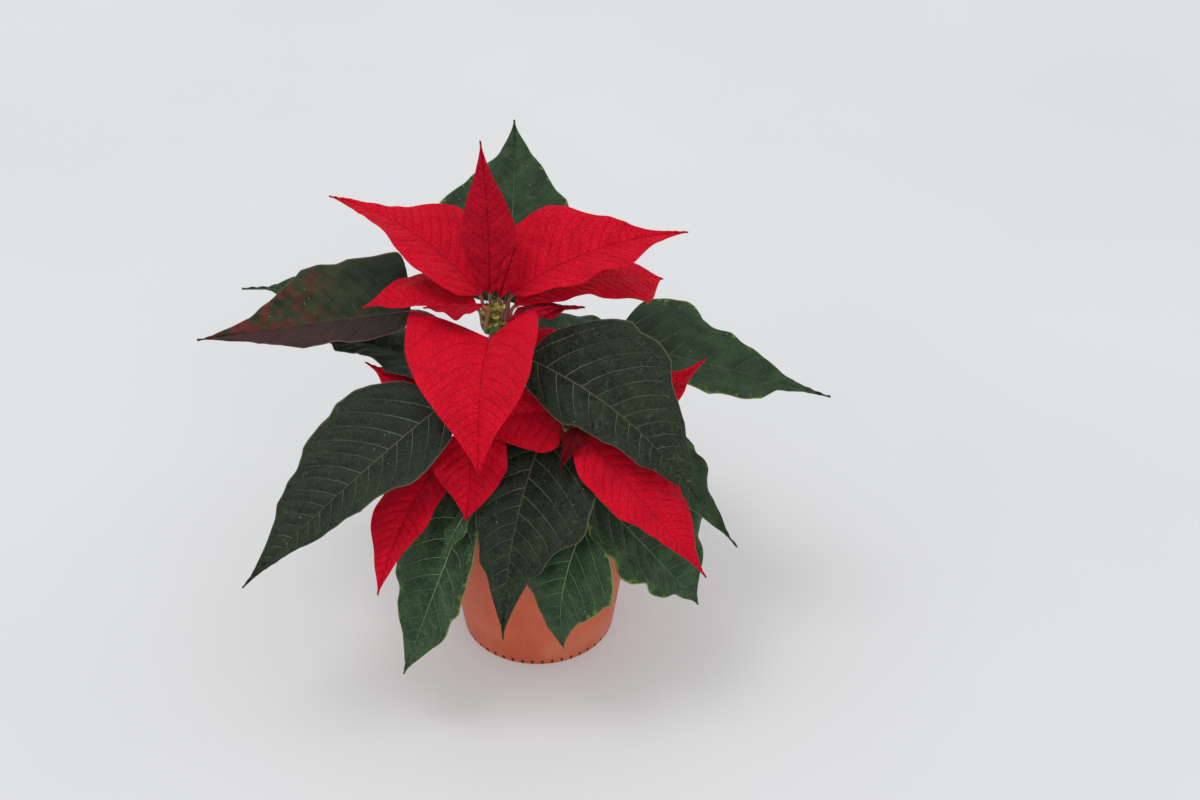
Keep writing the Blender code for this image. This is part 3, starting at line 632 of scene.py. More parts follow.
def tube(name, points, radii, resolution=4):
    """A round tube with closed ends along points in millimetres."""
    curve = bpy.data.curves.new(name, "CURVE")
    curve.dimensions = "3D"
    curve.bevel_depth = MM
    curve.bevel_resolution = resolution
    curve.use_fill_caps = True
    line = curve.splines.new("POLY")
    line.points.add(len(points) - 1)
    for knot, place, radius in zip(line.points, points, radii):
        knot.co = (*(place * MM), 1)
        knot.radius = radius
    return applied(show(name, curve))


def stalk(name, blade, growth):
    points = stalk_line(blade, growth)
    radius = growth.stalk_radius
    along = np.linspace(0, 1, len(points))
    radii = radius * (1 + 0.35 * np.exp(-along / 0.06) + 0.15 * np.exp((along - 1) / 0.1))
    radii[-1] = radius * 0.5
    return tube(name, points, radii)


def joined(name, pieces):
    """One object out of several; the materials come along."""
    first = pieces[0]
    with bpy.context.temp_override(active_object=first, object=first, selected_editable_objects=pieces):
        bpy.ops.object.join()
    first.name = name
    first.data.name = name
    return first


def finished(obj, *finishes):
    obj.data.materials.clear()
    for finish in finishes:
        obj.data.materials.append(finish)
    return obj


def smoothed(obj, angle=math.radians(50)):
    obj.data.shade_smooth()
    obj.data.set_sharp_from_angle(angle=angle)
    return obj


def dress(obj, node):
    """The piece stands for a solid, which it hides, and moves with the plant."""
    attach(obj, "root")
    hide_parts(node)
    return obj


# %% [markdown]
# The finish of the blades
#
# The vein count makes the side veins: its distance to the nearest whole number is the distance to the
# nearest vein. Millimetres from the midrib make the midrib, and two layers of Voronoi edges make the net
# between. On a leaf the veins are paler than the green, on a bract they are darker than the red. Each
# line is drawn in the colour and pressed into the bump, and the tone wanders a little with noise, as it
# does from one part of a leaf to the next.


# %% Veins, net and midrib as masks
LEAF_VEIN_WIDTH = 0.022  # half the width of a side vein, in shares of the distance between veins
BRACT_VEIN_WIDTH = 0.085
VEIN_END = 0.4  # share of its width that a side vein keeps at the margin
RIB_WIDTH = 0.4  # half the width of the midrib at its base, in millimetres
RIB_END = 0.2  # share of it that is left at the tip
NET_CELL = 0.42  # cells of the net per millimetre
FINE_CELL = 1.7


def vein_masks(paint, vein_width):
    """Masks from 0 to 1 for side veins, midrib, net and fine net, and the numbers that they came from."""
    share, across, veins = paint.split(paint.attribute("blade"))
    place = paint.attribute("place")
    right = paint.math("GREATER_THAN", across, 0.0)
    number = paint.plus(veins, paint.times(right, VEINS_ALTERNATE))
    nearest = paint.math("ABSOLUTE", paint.minus(paint.math("FRACT", paint.plus(number, 0.5)), 0.5))
    out = paint.math("ABSOLUTE", across)
    width = paint.ramp(out, 0.0, 1.0, vein_width, vein_width * VEIN_END)
    line = paint.ramp(paint.math("DIVIDE", nearest, width), 0.4, 1.2, 1.0, 0.0)
    side_vein = paint.times(line, paint.ramp(out, 0.82, 0.98, 1.0, 0.0))
    rib_width = paint.ramp(share, 0.0, 1.0, RIB_WIDTH, RIB_WIDTH * RIB_END)
    from_rib = paint.math("ABSOLUTE", paint.split(place)[0])
    rib = paint.ramp(paint.math("DIVIDE", from_rib, rib_width), 0.5, 1.1, 1.0, 0.0)
    net = paint.ramp(paint.cells(place, NET_CELL), 0.01, 0.07, 1.0, 0.0)
    fine = paint.ramp(paint.cells(place, FINE_CELL), 0.02, 0.16, 1.0, 0.0)
    return side_vein, rib, net, fine, share, out, place


# %% [markdown]
# A leaf's upper side is dark and satin, its veins cream, its midrib pinkish, and its rim a thin pale
# line. The underside is matt and paler. Young leaves are a fresher green. One function with a few colours
# makes them all.


# %% Paint for the leaves
DEEP_SHADE = rgb(0.003, 0.004, 0.004)
YELLOW_SPOT = rgb(0.20, 0.26, 0.03)
DUST = rgb(0.55, 0.52, 0.42)
RED_FLUSH = rgb(0.18, 0.007, 0.014)
PLUM_AND_PAINTED_SHADE = rgb(0.050, 0.018, 0.022)  # plum tone of the left half, darkened as painted shade where that half rolls down


def leaf_paint(name, dark, light, vein, mid, rim, net_shows, rib_shows, gloom, spots, flushed):
    """Gloom darkens the base; spots yellow the margins; a flush reddens the outer part."""
    paint = Paint(name, specular=0.18)
    side_vein, rib, net, fine, share, out, place = vein_masks(paint, LEAF_VEIN_WIDTH)
    patches = paint.noise(place, 0.12, 4.0)
    grain = paint.noise(place, 1.6, 2.0)
    color = paint.mix(paint.ramp(patches, 0.35, 0.68), dark, light)
    if flushed:
        blotches = paint.ramp(paint.noise(place, 0.16, 5.0), 0.42, 0.58)
        color = paint.over(color, RED_FLUSH, blotches, paint.ramp(share, 0.25, 0.75), flushed)
        # Painted shade in a plum tone over the left half, which rolls down
        across = paint.split(paint.attribute("blade"))[1]
        color = paint.over(color, PLUM_AND_PAINTED_SHADE, paint.ramp(across, -0.06, -0.02, 0.85, 0.0))
    color = paint.over(color, light, paint.ramp(grain, 0.35, 0.75, 0.0, 0.25))
    color = paint.over(color, DEEP_SHADE, paint.ramp(share, 0.0, 0.45, gloom, 0.0))
    faded = paint.ramp(paint.noise(place, 0.05, 2.0), 0.35, 0.65, 0.40, 0.85)
    color = paint.over(color, vein, fine, net_shows * 0.3)
    color = paint.over(color, vein, net, net_shows)
    color = paint.over(color, vein, side_vein, faded)
    color = paint.over(color, mid, rib, paint.ramp(share, 0.0, 0.9, rib_shows, rib_shows * 0.8))
    color = paint.over(color, rim, paint.ramp(out, 0.965, 0.995, 0.0, 0.75))
    if spots:
        spotted = paint.ramp(paint.noise(place, 0.35, 2.0), 0.54, 0.64)
        color = paint.over(color, YELLOW_SPOT, spotted, paint.ramp(out, 0.80, 0.97), spots)
    color = paint.over(color, DUST, paint.ramp(paint.cells(place, 0.16, "F1"), 0.02, 0.05, 0.8, 0.0))
    valleys = paint.plus(paint.plus(side_vein, paint.times(net, 0.5)), rib)
    height = paint.minus(paint.times(grain, 0.25), valleys)
    return paint.done(color, paint.ramp(patches, 0.3, 0.7, 0.41, 0.54), height, 0.18 * MM)


def leaf_under_paint(name, greens, vein):
    """The underside: matt, paler, with its veins standing out."""
    paint = Paint(name, specular=0.25)
    side_vein, rib, net, fine, _, _, place = vein_masks(paint, LEAF_VEIN_WIDTH * 1.3)
    color = paint.mix(paint.ramp(paint.noise(place, 0.2), 0.3, 0.7), *greens)
    for mask, strength in ((net, 0.25), (side_vein, 0.7), (rib, 0.85)):
        color = paint.over(color, vein, mask, strength)
    height = paint.plus(paint.plus(side_vein, rib), paint.times(net, 0.5))
    return paint.done(color, paint.ramp(fine, 0.0, 1.0, 0.62, 0.7), height, 0.15 * MM)


# %% [markdown]
# Bracts are softer than leaves, almost velvet. A little sheen on the shader lifts their edges, and their
# veins are a darker red. The colour deepens in patches and towards the very tip, which often dries to a
# brown thread.


# %% Paint for the bracts
DRY_TIP = rgb(0.05, 0.012, 0.01)
BARK_DOT = rgb(0.45, 0.40, 0.25)


def bract_paint(name, bright, deep, vein):
    paint = Paint(name, specular=0.08, sheen_weight=0.03, sheen_roughness=0.5, sheen_tint=rgb(1.0, 0.25, 0.3))
    side_vein, rib, net, fine, share, _, place = vein_masks(paint, BRACT_VEIN_WIDTH)
    patches = paint.noise(place, 0.09, 4.0)
    grain = paint.noise(place, 2.2, 2.0)
    color = paint.mix(paint.ramp(patches, 0.35, 0.7, 0.0, 0.55), bright, deep)
    color = paint.over(color, deep, paint.ramp(grain, 0.3, 0.7, 0.0, 0.16))
    for mask, strength in ((fine, 0.10), (net, 0.20), (side_vein, 0.23), (rib, 0.30)):
        color = paint.over(color, vein, mask, strength)
    color = paint.over(color, DRY_TIP, paint.ramp(share, 0.985, 1.0))
    valleys = paint.plus(paint.times(paint.plus(side_vein, net), 0.6), rib)
    height = paint.minus(paint.times(grain, 0.35), valleys)
    return paint.done(color, paint.ramp(grain, 0.3, 0.7, 0.48, 0.58), height, 0.27 * MM)


def stalk_paint(name, upper, lower):
    """A stalk is flushed red where light reaches it and stays green below."""
    paint = Paint(name, specular=0.4)
    facing = paint.split(paint.node("ShaderNodeNewGeometry", {}, "Normal"))[2]
    where = paint.position()
    stain = paint.noise(where, 180.0)
    level = paint.plus(facing, paint.minus(stain, 0.5))
    color = paint.mix(paint.ramp(level, -0.3, 0.7), lower, upper)
    color = paint.over(color, BARK_DOT, paint.ramp(paint.noise(where, 900.0), 0.55, 0.75, 0.0, 0.3))
    return paint.done(color, paint.ramp(stain, 0.3, 0.7, 0.38, 0.52), paint.noise(where, 700.0), 0.06 * MM)


# %% The colours
LEAF_COLORS = {  # dark green, light green, veins, midrib, rim
    "dark": (
        rgb(0.006, 0.013, 0.007), rgb(0.017, 0.030, 0.012), rgb(0.30, 0.31, 0.20), rgb(0.27, 0.20, 0.14),
        rgb(0.12, 0.12, 0.07),
    ),
    "fresh": (
        rgb(0.012, 0.030, 0.012), rgb(0.032, 0.066, 0.026), rgb(0.16, 0.24, 0.12), rgb(0.20, 0.25, 0.14),
        rgb(0.17, 0.22, 0.06),
    ),
    # Lighter greens for the low leaves are painted light where the leaves above shade them; their crisp pale
    # veins are their own
    "lightened_low": (
        rgb(0.012, 0.036, 0.014), rgb(0.034, 0.084, 0.030), rgb(0.34, 0.46, 0.26), rgb(0.34, 0.44, 0.26),
        rgb(0.22, 0.32, 0.08),
    ),
    "flushed": (
        rgb(0.011, 0.022, 0.007), rgb(0.031, 0.050, 0.017), rgb(0.13, 0.11, 0.06), rgb(0.16, 0.08, 0.07),
        rgb(0.22, 0.12, 0.09),
    ),
}
LEAF_SHARES = {  # how strongly net, midrib, gloom, spots and flush show
    "dark": (0.10, 0.5, 0.6, 0.0, 0.0),
    "fresh": (0.12, 0.5, 0.3, 0.6, 0.0),
    "lightened_low": (0.12, 0.9, 0.3, 0.6, 0.0),
    "flushed": (0.10, 0.5, 0.6, 0.0, 0.8),
}
LEAF_FACES = {
    kind: leaf_paint("leaf_" + kind, *colors, *LEAF_SHARES[kind]) for kind, colors in LEAF_COLORS.items()
}
UNDER_GREENS = (rgb(0.075, 0.13, 0.060), rgb(0.05625, 0.0975, 0.045))
LEAF_UNDER = leaf_under_paint("leaf_under", UNDER_GREENS, rgb(0.20, 0.26, 0.13))
BRACT_COLORS = {  # in the light, in the shade, and the veins
    "bright": (rgb(0.76, 0.003, 0.023), rgb(0.56, 0.002, 0.018), rgb(0.22, 0.001, 0.008)),
    "deep": (rgb(0.52, 0.002, 0.018), rgb(0.32, 0.001, 0.013), rgb(0.12, 0.001, 0.006)),
    # The dark finish is painted shade, for a bract that sits in shadow
    "dark": (rgb(0.16, 0.002, 0.007), rgb(0.09, 0.001, 0.004), rgb(0.04, 0.001, 0.002)),
    "under": (rgb(0.42, 0.020, 0.035), rgb(0.34, 0.014, 0.028), rgb(0.50, 0.06, 0.07)),
}
BRACT_FACES = {kind: bract_paint("bract_" + kind, *colors) for kind, colors in BRACT_COLORS.items()}
LEAF_STALK = stalk_paint("leaf_stalk", rgb(0.22, 0.030, 0.030), rgb(0.12, 0.19, 0.06))
BRACT_STALK = stalk_paint("bract_stalk", rgb(0.36, 0.06, 0.06), rgb(0.26, 0.20, 0.09))
print("blade finishes:", len(LEAF_FACES) + 1 + len(BRACT_FACES))

# %% [markdown]
# Growing the leaves
#
# Now the table becomes parts of a plant, one loop for leaves and one for bracts. The low leaves have crisp
# pale veins of their own and a lighter green, which is painted light where the leaves above shade them.
# The one at the back is fresh, the one on the far left has started to turn red, and the rest are dark.

# %% Leaves
@dataclass
class Growth:
    """What all leaves share, or all bracts; lengths in millimetres."""

    apart: float  # from one side vein to the next
    pillow: float  # how high the blade puffs up between them
    thickness: float
    rib: float  # thickness at the midrib
    stalk_radius: float
    slot: str
    under: bpy.types.Material
    stalk_finish: bpy.types.Material


LEAF_GROWTH = Growth(LEAF_VEINS_APART, 0.80, 0.45, 1.5, 1.25, "leaf_green", LEAF_UNDER, LEAF_STALK)
FRESH_LEAVES = ("back", "left_back", "right", "right_back", "right_side", "side_low")
# The low leaves take the lighter paint, as painted light where the leaves above shade them
LIGHTENED_LOW_LEAVES = ("right_low", "front_low", "front_low_left", "front_small", "rear_low")
LEAF_KINDS = {
    "leaf_left": "flushed",
    **{"leaf_" + name: "fresh" for name in FRESH_LEAVES},
    **{"leaf_" + name: "lightened_low" for name in LIGHTENED_LOW_LEAVES},
}


def grow(name, blade, number, growth, face):
    thin = applied(finished(sheet(name + "_sheet", blade, number, growth), face, growth.under))
    pieces = [thin, finished(stalk(name + "_stalk", blade, growth), growth.stalk_finish)]
    return dress(smoothed(joined(name + "_grown", pieces)), name)


def grow_all(blades, first, growth, kinds, usual, faces):
    """Grows a table of blades, numbered from first; kinds names the finish of those that aren't the usual."""
    triangles = 0
    for number, (name, blade) in enumerate(blades.items(), first):
        grown = grow(name, blade, number, growth, faces[kinds.get(name, usual)])
        triangles += sum(len(face.vertices) - 2 for face in grown.data.polygons)
    return triangles


triangles = grow_all(LEAVES, 0, LEAF_GROWTH, LEAF_KINDS, "dark", LEAF_FACES)
print("leaves:", len(LEAVES), "triangles:", triangles)

# %% Bracts
BRACT_UNDER = BRACT_FACES["under"]
BRACT_GROWTH = Growth(BRACT_VEINS_APART, 0.68, 0.40, 1.3, 0.85, "bract_red", BRACT_UNDER, BRACT_STALK)
DEEP_BRACTS = ("upright", "inner", "right_low", "front_small", "left_low")
# The inner right bract takes the dark finish, which is painted shade where it sits in shadow
BRACT_KINDS = {"bract_right_inner": "dark", **{"bract_main_" + name: "deep" for name in DEEP_BRACTS}}
triangles = grow_all(BRACTS, len(LEAVES), BRACT_GROWTH, BRACT_KINDS, "bright", BRACT_FACES)
print("bracts:", len(BRACTS), "triangles:", triangles)

# %% [markdown]
# The stems again, finely
#
# The stems swell a little at each place where a stalk leaves them. They are woody and brown at the foot
# and green with a red flush higher up. A tube with a radius for every point does it, and the colour
# simply follows the height.

# %% Stems
STEM_SECTIONS = 60
KNOT_SWELLING = 0.35  # millimetres
KNOT_LENGTH = 2.2


def stem_paint():
    paint = Paint("stem_skin", specular=0.4)
    where = paint.position()
    stain = paint.noise(where, 90.0, 4.0)
    level = paint.plus(paint.split(where)[2], paint.times(stain, 0.03))
    color = paint.mix(paint.ramp(level, 0.085, 0.125), rgb(0.16, 0.10, 0.05), rgb(0.11, 0.18, 0.05))
    color = paint.over(color, rgb(0.25, 0.07, 0.04), paint.ramp(stain, 0.5, 0.75, 0.0, 0.45))
    dots = paint.ramp(paint.cells(where, 420.0, "F1"), 0.10, 0.22, 1.0, 0.0)
    color = paint.over(color, rgb(0.45, 0.38, 0.24), dots, 0.5)
    return paint.done(color, paint.ramp(stain, 0.3, 0.7, 0.42, 0.6), paint.plus(dots, stain), 0.12 * MM)


def fine_stem(name, stem):
    shares = np.linspace(0, 1, STEM_SECTIONS)
    sections = [stem_section(stem, share) for share in shares]
    points = np.array([section[0] for section in sections])
    radii = np.array([section[2] for section in sections])
    for blade in ALL_BLADES:
        if STEMS[blade.stem] is stem:
            radii += KNOT_SWELLING * np.exp(-(((points[:, 2] - blade.height) / KNOT_LENGTH) ** 2))
    return tube(name, points, radii, resolution=6)


stem_finish = stem_paint()
stem_pieces = [finished(fine_stem("stem_" + name, stem), stem_finish) for name, stem in STEMS.items()]
dress(smoothed(joined("stems_grown", stem_pieces)), "stems")
print("stems:", len(stem_pieces))

# %% [markdown]
# The true flowers
#
# What looks like petals are bracts. The true flowers are the green cups in the middle, each with a
# toothed mouth, one yellow gland like a pair of lips on its side, and a few red threads with pollen. A
# cup is a profile turned round its axis; gland and threads are small solids set on it. One cup is
# modelled once and copied.

# %% One cup
CUP_RADIUS = 2.1
CUP_HEIGHT = 6.0
CUP_STAGGER = 1.0  # every other cup stands this much higher
CUP_RING = 1.3  # how far out the cups stand, in cup radii
CUP_LEAN = 0.2  # how far they tip outwards
CYATHIA = {"main": 6, "right": 5, "left": 5}
BUD_SHARE = 0.68  # size of a bud below the cups, as a share of a full cup
BUD_DROP = 2.6  # millimetres below the end of the stem
BUD_RING = 1.5
BUD_LEAN = 0.7
BUD_ANGLES = (-150, -115, -80, -40)  # degrees round the stem, all on its front
CUP_PROFILE = ((0.0, 0.0), (0.45, 0.02), (0.85, 0.2), (1.0, 0.45), (0.92, 0.68), (0.66, 0.86), (0.56, 0.93))
CUP_INSIDE = ((0.46, 0.92), (0.5, 0.8), (0.3, 0.7), (0.0, 0.68))
CUP_STEPS = 20
THREADS = 5
CUP_TONES = (rgb(0.10, 0.13, 0.018), rgb(0.34, 0.34, 0.07))
GLAND_TONES = (rgb(0.32, 0.26, 0.03), rgb(0.48, 0.40, 0.08))
THREAD_TONES = (rgb(0.20, 0.010, 0.012), rgb(0.34, 0.08, 0.03))
RED_FLECK = (700.0, 0.5, 0.7, 0.75, rgb(0.16, 0.02, 0.015))
CUP_FINISHES = (
    stained(
        "cyathium_skin", 0.5, 260.0, 3.0, CUP_TONES, (0.35, 0.5), 0.15 * MM, fleck=RED_FLECK,
        subsurface_weight=0.15, subsurface_radius=(0.002, 0.002, 0.001),
    ),
    stained("gland_skin", 0.6, 500.0, 2.0, GLAND_TONES, (0.22, 0.32), 0.05 * MM),
    stained("thread_skin", 0.4, 900.0, 2.0, THREAD_TONES, (0.4, 0.55), 0.03 * MM, band=(0.4, 0.6)),
)


def add_turned(edit, profile, steps):
    """Turns a line of (radius, height) points round Z inside a mesh that is being edited."""
    rings = []
    for radius, height in profile:
        if radius == 0:
            rings.append([edit.verts.new((0, 0, height))])
            continue
        ring = bmesh.ops.create_circle(edit, segments=steps, radius=radius)["verts"]
        for vertex in ring:
            vertex.co.z = height
        rings.append(ring)
    for low, high in zip(rings, rings[1:]):
        for i in range(steps):
            lower = [low[k % len(low)] for k in (i, i + 1)]
            upper = [high[k % len(high)] for k in (i + 1, i)]
            edit.faces.new(list(dict.fromkeys(lower + upper)))


def cup_mesh():
    """A cup of radius 1 and height 1: its toothed wall, its gland and its threads."""
    edit = bmesh.new()
    add_turned(edit, (*CUP_PROFILE, *CUP_INSIDE), CUP_STEPS)
    for vertex in edit.verts:
        if vertex.co.z > 0.9:
            angle = math.atan2(vertex.co.y, vertex.co.x)
            vertex.co.z += 0.05 * math.cos(5 * angle)
    walls = len(edit.faces)
    for turn in (-0.32, 0.32):
        place = Matrix.Rotation(turn, 4, "Z") @ Matrix.Translation((0.95, 0, 0.72))
        size = Matrix.Diagonal((0.34, 0.42, 0.10, 1))
        bmesh.ops.create_uvsphere(edit, u_segments=12, v_segments=8, radius=1, matrix=place @ size)
    glands = len(edit.faces)
    for i in range(THREADS):
        angle = GOLDEN_ANGLE * i
        lean = Matrix.Rotation(angle, 4, "Z") @ Matrix.Rotation(0.22, 4, "Y")
        thread = lean @ Matrix.Translation((0.16, 0, 0.98))
        bmesh.ops.create_cone(
            edit, cap_ends=True, segments=6, radius1=0.05, radius2=0.04, depth=0.5, matrix=thread
        )
        for side in (-0.06, 0.06):
            bead = lean @ Matrix.Translation((0.16, side, 1.24)) @ Matrix.Diagonal((0.10, 0.08, 0.045, 1))
            bmesh.ops.create_icosphere(edit, subdivisions=2, radius=1, matrix=bead)
    for i, face in enumerate(edit.faces):
        face.material_index = 0 if i < walls else 1 if i < glands else 2
    mesh = mesh_from(edit, "cup")
    for finish in CUP_FINISHES:
        mesh.materials.append(finish)
    return mesh


# %% The three bunches
def put_cup(name, cup, foot, way, out, angle, size):
    """A copy of the cup on a foot, turned by an angle and tipped from the stem's way by the vector out."""
    lean = Vector((0, 0, 1)).rotation_difference((way + out).normalized()).to_matrix().to_4x4()
    place = Matrix.Scale(MM, 4) @ Matrix.Translation(foot) @ lean @ Matrix.Rotation(angle, 4, "Z")
    piece = show(name, cup.copy())
    piece.data.transform(place @ Matrix.Diagonal((*size, 1)))
    return piece


def bunch(stem_name, cups, cup):
    """One cup in the middle and the others round it, with smaller buds lower down."""
    top, way, _ = stem_section(STEMS[stem_name], 1)
    top, way = Vector(top), Vector(way)
    upright = Vector((0, 0, 1)).rotation_difference(way).to_matrix()
    made = []
    for i in range(cups):
        angle = math.tau * i / (cups - 1)
        out = upright @ Vector((math.cos(angle), math.sin(angle), 0)) if i else Vector()
        foot = top + way * (STALK_GAP + CUP_STAGGER * (i % 2)) + out * CUP_RADIUS * CUP_RING
        size = (CUP_RADIUS, CUP_RADIUS, CUP_HEIGHT * (0.86 + 0.14 * math.cos(2.4 * i)))
        made.append(put_cup(f"cup_{stem_name}_{i}", cup, foot, way, out * CUP_LEAN, angle, size))
    bud_size = (BUD_SHARE * CUP_RADIUS, BUD_SHARE * CUP_RADIUS, BUD_SHARE * CUP_HEIGHT)
    for i, degrees in enumerate(BUD_ANGLES):
        angle = math.radians(degrees)
        out = upright @ Vector((math.cos(angle), math.sin(angle), 0))
        foot = top - way * (BUD_DROP + CUP_STAGGER * (i % 2)) + out * CUP_RADIUS * BUD_RING
        made.append(put_cup(f"bud_{stem_name}_{i}", cup, foot, way, out * BUD_LEAN, angle, bud_size))
    return smoothed(joined("cyathia_" + stem_name + "_grown", made))


one_cup = cup_mesh()
for stem_name, cups in CYATHIA.items():
    dress(bunch(stem_name, cups, one_cup), "cyathia_" + stem_name)
bpy.data.meshes.remove(one_cup)
print("cups:", sum(CYATHIA.values()))

# %% [markdown]
# The pot
#
# A nursery pot is a thin moulded shell with a collar. Turning one profile round its axis is by far the
# shortest way to it. The notches round its heel and the holes in its floor are all cut by one Boolean: a
# single cutter mesh holds them, which is quicker and safer than fifty-four separate cuts.

# %% The pot's profile and openings
POT_LOW, POT_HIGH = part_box("pot")
POT_HEIGHT = POT_HIGH.z / MM
POT_TOP_RADIUS = (POT_HIGH.x - POT_LOW.x) / 2 / MM
POT_FOOT_RADIUS = POT_TOP_RADIUS * 75 / 105  # 75 mm across the foot and 105 mm across the rim
POT_WALL = 1.5
POT_COLLAR_HEIGHT = 13
POT_COLLAR_STEP = 2
POT_COLLAR_TAPER = 1.2
POT_SHOULDER = POT_HEIGHT - POT_COLLAR_HEIGHT
POT_ROUNDING = 0.6
POT_GROOVE = (14, 30)  # radii of the hollow under the floor
POT_GROOVE_RISE = 2.5
POT_STEPS = 144
DRAIN_HOLES = 6
DRAIN_HOLE_RADIUS = 3
HEEL_SLOTS = 48
HEEL_SLOT = (1.2, 2.4)  # width and height of a notch
HEEL_SLOT_DEPTH = 1.0
HEEL_SLOT_RISE = 0.9
NOTCH_TOP = HEEL_SLOT_RISE + HEEL_SLOT[1]


def pot_outer_radius(z):
    shoulder_radius = POT_TOP_RADIUS - POT_COLLAR_STEP - POT_COLLAR_TAPER
    return POT_FOOT_RADIUS + (shoulder_radius - POT_FOOT_RADIUS) * z / POT_SHOULDER


def pot_profile():
    """From the middle of the floor inside, over the rim, to the middle of the underside."""
    groove_in, groove_out = POT_GROOVE
    wall_at_shoulder = pot_outer_radius(POT_SHOULDER)
    collar = wall_at_shoulder + POT_COLLAR_STEP
    floor = POT_GROOVE_RISE + POT_WALL
    inside = [
        (0, floor),
        (pot_outer_radius(floor) - POT_WALL, floor),
        (wall_at_shoulder - POT_WALL, POT_SHOULDER + POT_ROUNDING),
        (collar - POT_WALL, POT_SHOULDER + POT_ROUNDING + POT_WALL),
        (POT_TOP_RADIUS - POT_WALL, POT_HEIGHT - POT_ROUNDING),
        (POT_TOP_RADIUS - POT_WALL / 2, POT_HEIGHT),
    ]
    outside = [
        (POT_TOP_RADIUS - 0.15, POT_HEIGHT - 0.15),
        (POT_TOP_RADIUS, POT_HEIGHT - POT_ROUNDING),
        (collar, POT_SHOULDER + POT_ROUNDING),
        (collar - 0.2, POT_SHOULDER + 0.15),
        (collar - POT_ROUNDING, POT_SHOULDER),
        (wall_at_shoulder + 0.2, POT_SHOULDER),
        (wall_at_shoulder, POT_SHOULDER - 0.3),
    ]
    outside += [(pot_outer_radius(z), z) for z in np.linspace(POT_SHOULDER - 1, 1.2, 12)]
    under = [
        (POT_FOOT_RADIUS - 0.35, 0.35),
        (POT_FOOT_RADIUS - 1.0, 0),
        (groove_out + 1, 0),
        (groove_out, POT_GROOVE_RISE),
        (groove_in + 1, POT_GROOVE_RISE),
        (groove_in, 0),
        (0, 0),
    ]
    return inside + outside + under


def pot_openings():
    edit = bmesh.new()
    middle = sum(POT_GROOVE) / 2 * MM
    for i in range(DRAIN_HOLES):
        angle = math.tau * i / DRAIN_HOLES
        place = Matrix.Translation((middle * math.cos(angle), middle * math.sin(angle), POT_GROOVE_RISE * MM))
        radius = DRAIN_HOLE_RADIUS * MM
        bmesh.ops.create_cone(
            edit, cap_ends=True, segments=24, radius1=radius, radius2=radius, depth=8 * MM, matrix=place
        )
    width, height = HEEL_SLOT
    radius = pot_outer_radius(height) * MM
    for i in range(HEEL_SLOTS):
        turn = Matrix.Rotation(math.tau * (i + 0.5) / HEEL_SLOTS, 4, "Z")
        place = Matrix.Translation((radius, 0, (height / 2 + HEEL_SLOT_RISE) * MM))
        size = Matrix.Diagonal((HEEL_SLOT_DEPTH * 2 * MM, width * MM, height * MM, 1))
        bmesh.ops.create_cube(edit, size=1, matrix=turn @ place @ size)
    return show("pot_openings", mesh_from(edit, "pot_openings"))


# %% [markdown]
# Moulded plastic of this kind is a dull orange-brown, a little chalky where it was handled, with faint
# upright draw marks from the mould and specks of peat near its foot. Scratches and dust only need to
# change the roughness and the colour slightly, or the pot looks like real clay.

# %% The pot's finish
def pot_paint():
    paint = Paint("pot_plastic", specular=0.35)
    where = paint.position()
    height = paint.split(where)[2]
    cloudy = paint.noise(where, 35.0, 5.0)
    grain = paint.noise(where, 1400.0, 2.0)
    stretched = paint.node("ShaderNodeMapping", {"Vector": where, "Scale": (260.0, 260.0, 12.0)})
    marks = paint.noise(stretched, 1.0, 3.0)
    color = paint.mix(paint.ramp(cloudy, 0.35, 0.7), rgb(0.57, 0.098, 0.038), rgb(0.68, 0.135, 0.058))
    color = paint.over(color, rgb(0.62, 0.24, 0.15), paint.ramp(marks, 0.55, 0.75, 0.0, 0.16))
    dusty = paint.ramp(height, 0.0, 0.03, 0.5, 0.05)
    color = paint.over(color, rgb(0.60, 0.24, 0.16), dusty, paint.ramp(cloudy, 0.45, 0.65))
    crumbs = paint.ramp(paint.cells(where, 260.0, "F1"), 0.05, 0.10, 0.6, 0.0)
    color = paint.over(color, rgb(0.08, 0.03, 0.02), crumbs, paint.ramp(height, 0.0, 0.05, 0.7, 0.0))
    # Painted shade in the notches, which are where a point is further in than the wall at its height
    across = paint.node("ShaderNodeVectorMath", {0: where, 1: (1.0, 1.0, 0.0)}, operation="MULTIPLY")
    radius = paint.node("ShaderNodeVectorMath", {0: across}, "Value", operation="LENGTH")
    slope = (pot_outer_radius(POT_SHOULDER) - POT_FOOT_RADIUS) / POT_SHOULDER
    depth = paint.minus(paint.plus(paint.times(height, slope), POT_FOOT_RADIUS * MM), radius)
    below = paint.ramp(height, NOTCH_TOP * MM, (NOTCH_TOP + 0.3) * MM, 0.9, 0.0)
    above = paint.ramp(height, 0.7 * MM, 1.0 * MM)
    color = paint.over(color, rgb(0.07, 0.022, 0.012), below, paint.ramp(depth, 0.15 * MM, 0.4 * MM), above)
    bumps = paint.plus(paint.times(grain, 0.5), marks)
    return paint.done(color, paint.ramp(cloudy, 0.3, 0.7, 0.42, 0.58), bumps, 0.05 * MM)


# %% Turn and cut the pot
def turned(name, profile, steps):
    mesh = bpy.data.meshes.new(name)
    edges = [(i, i + 1) for i in range(len(profile) - 1)]
    mesh.from_pydata([(radius * MM, 0, z * MM) for radius, z in profile], edges, [])
    made = show(name, mesh)
    screw = made.modifiers.new("turn", "SCREW")
    screw.steps = screw.render_steps = steps
    screw.use_merge_vertices = True
    screw.merge_threshold = 0.01 * MM
    return made


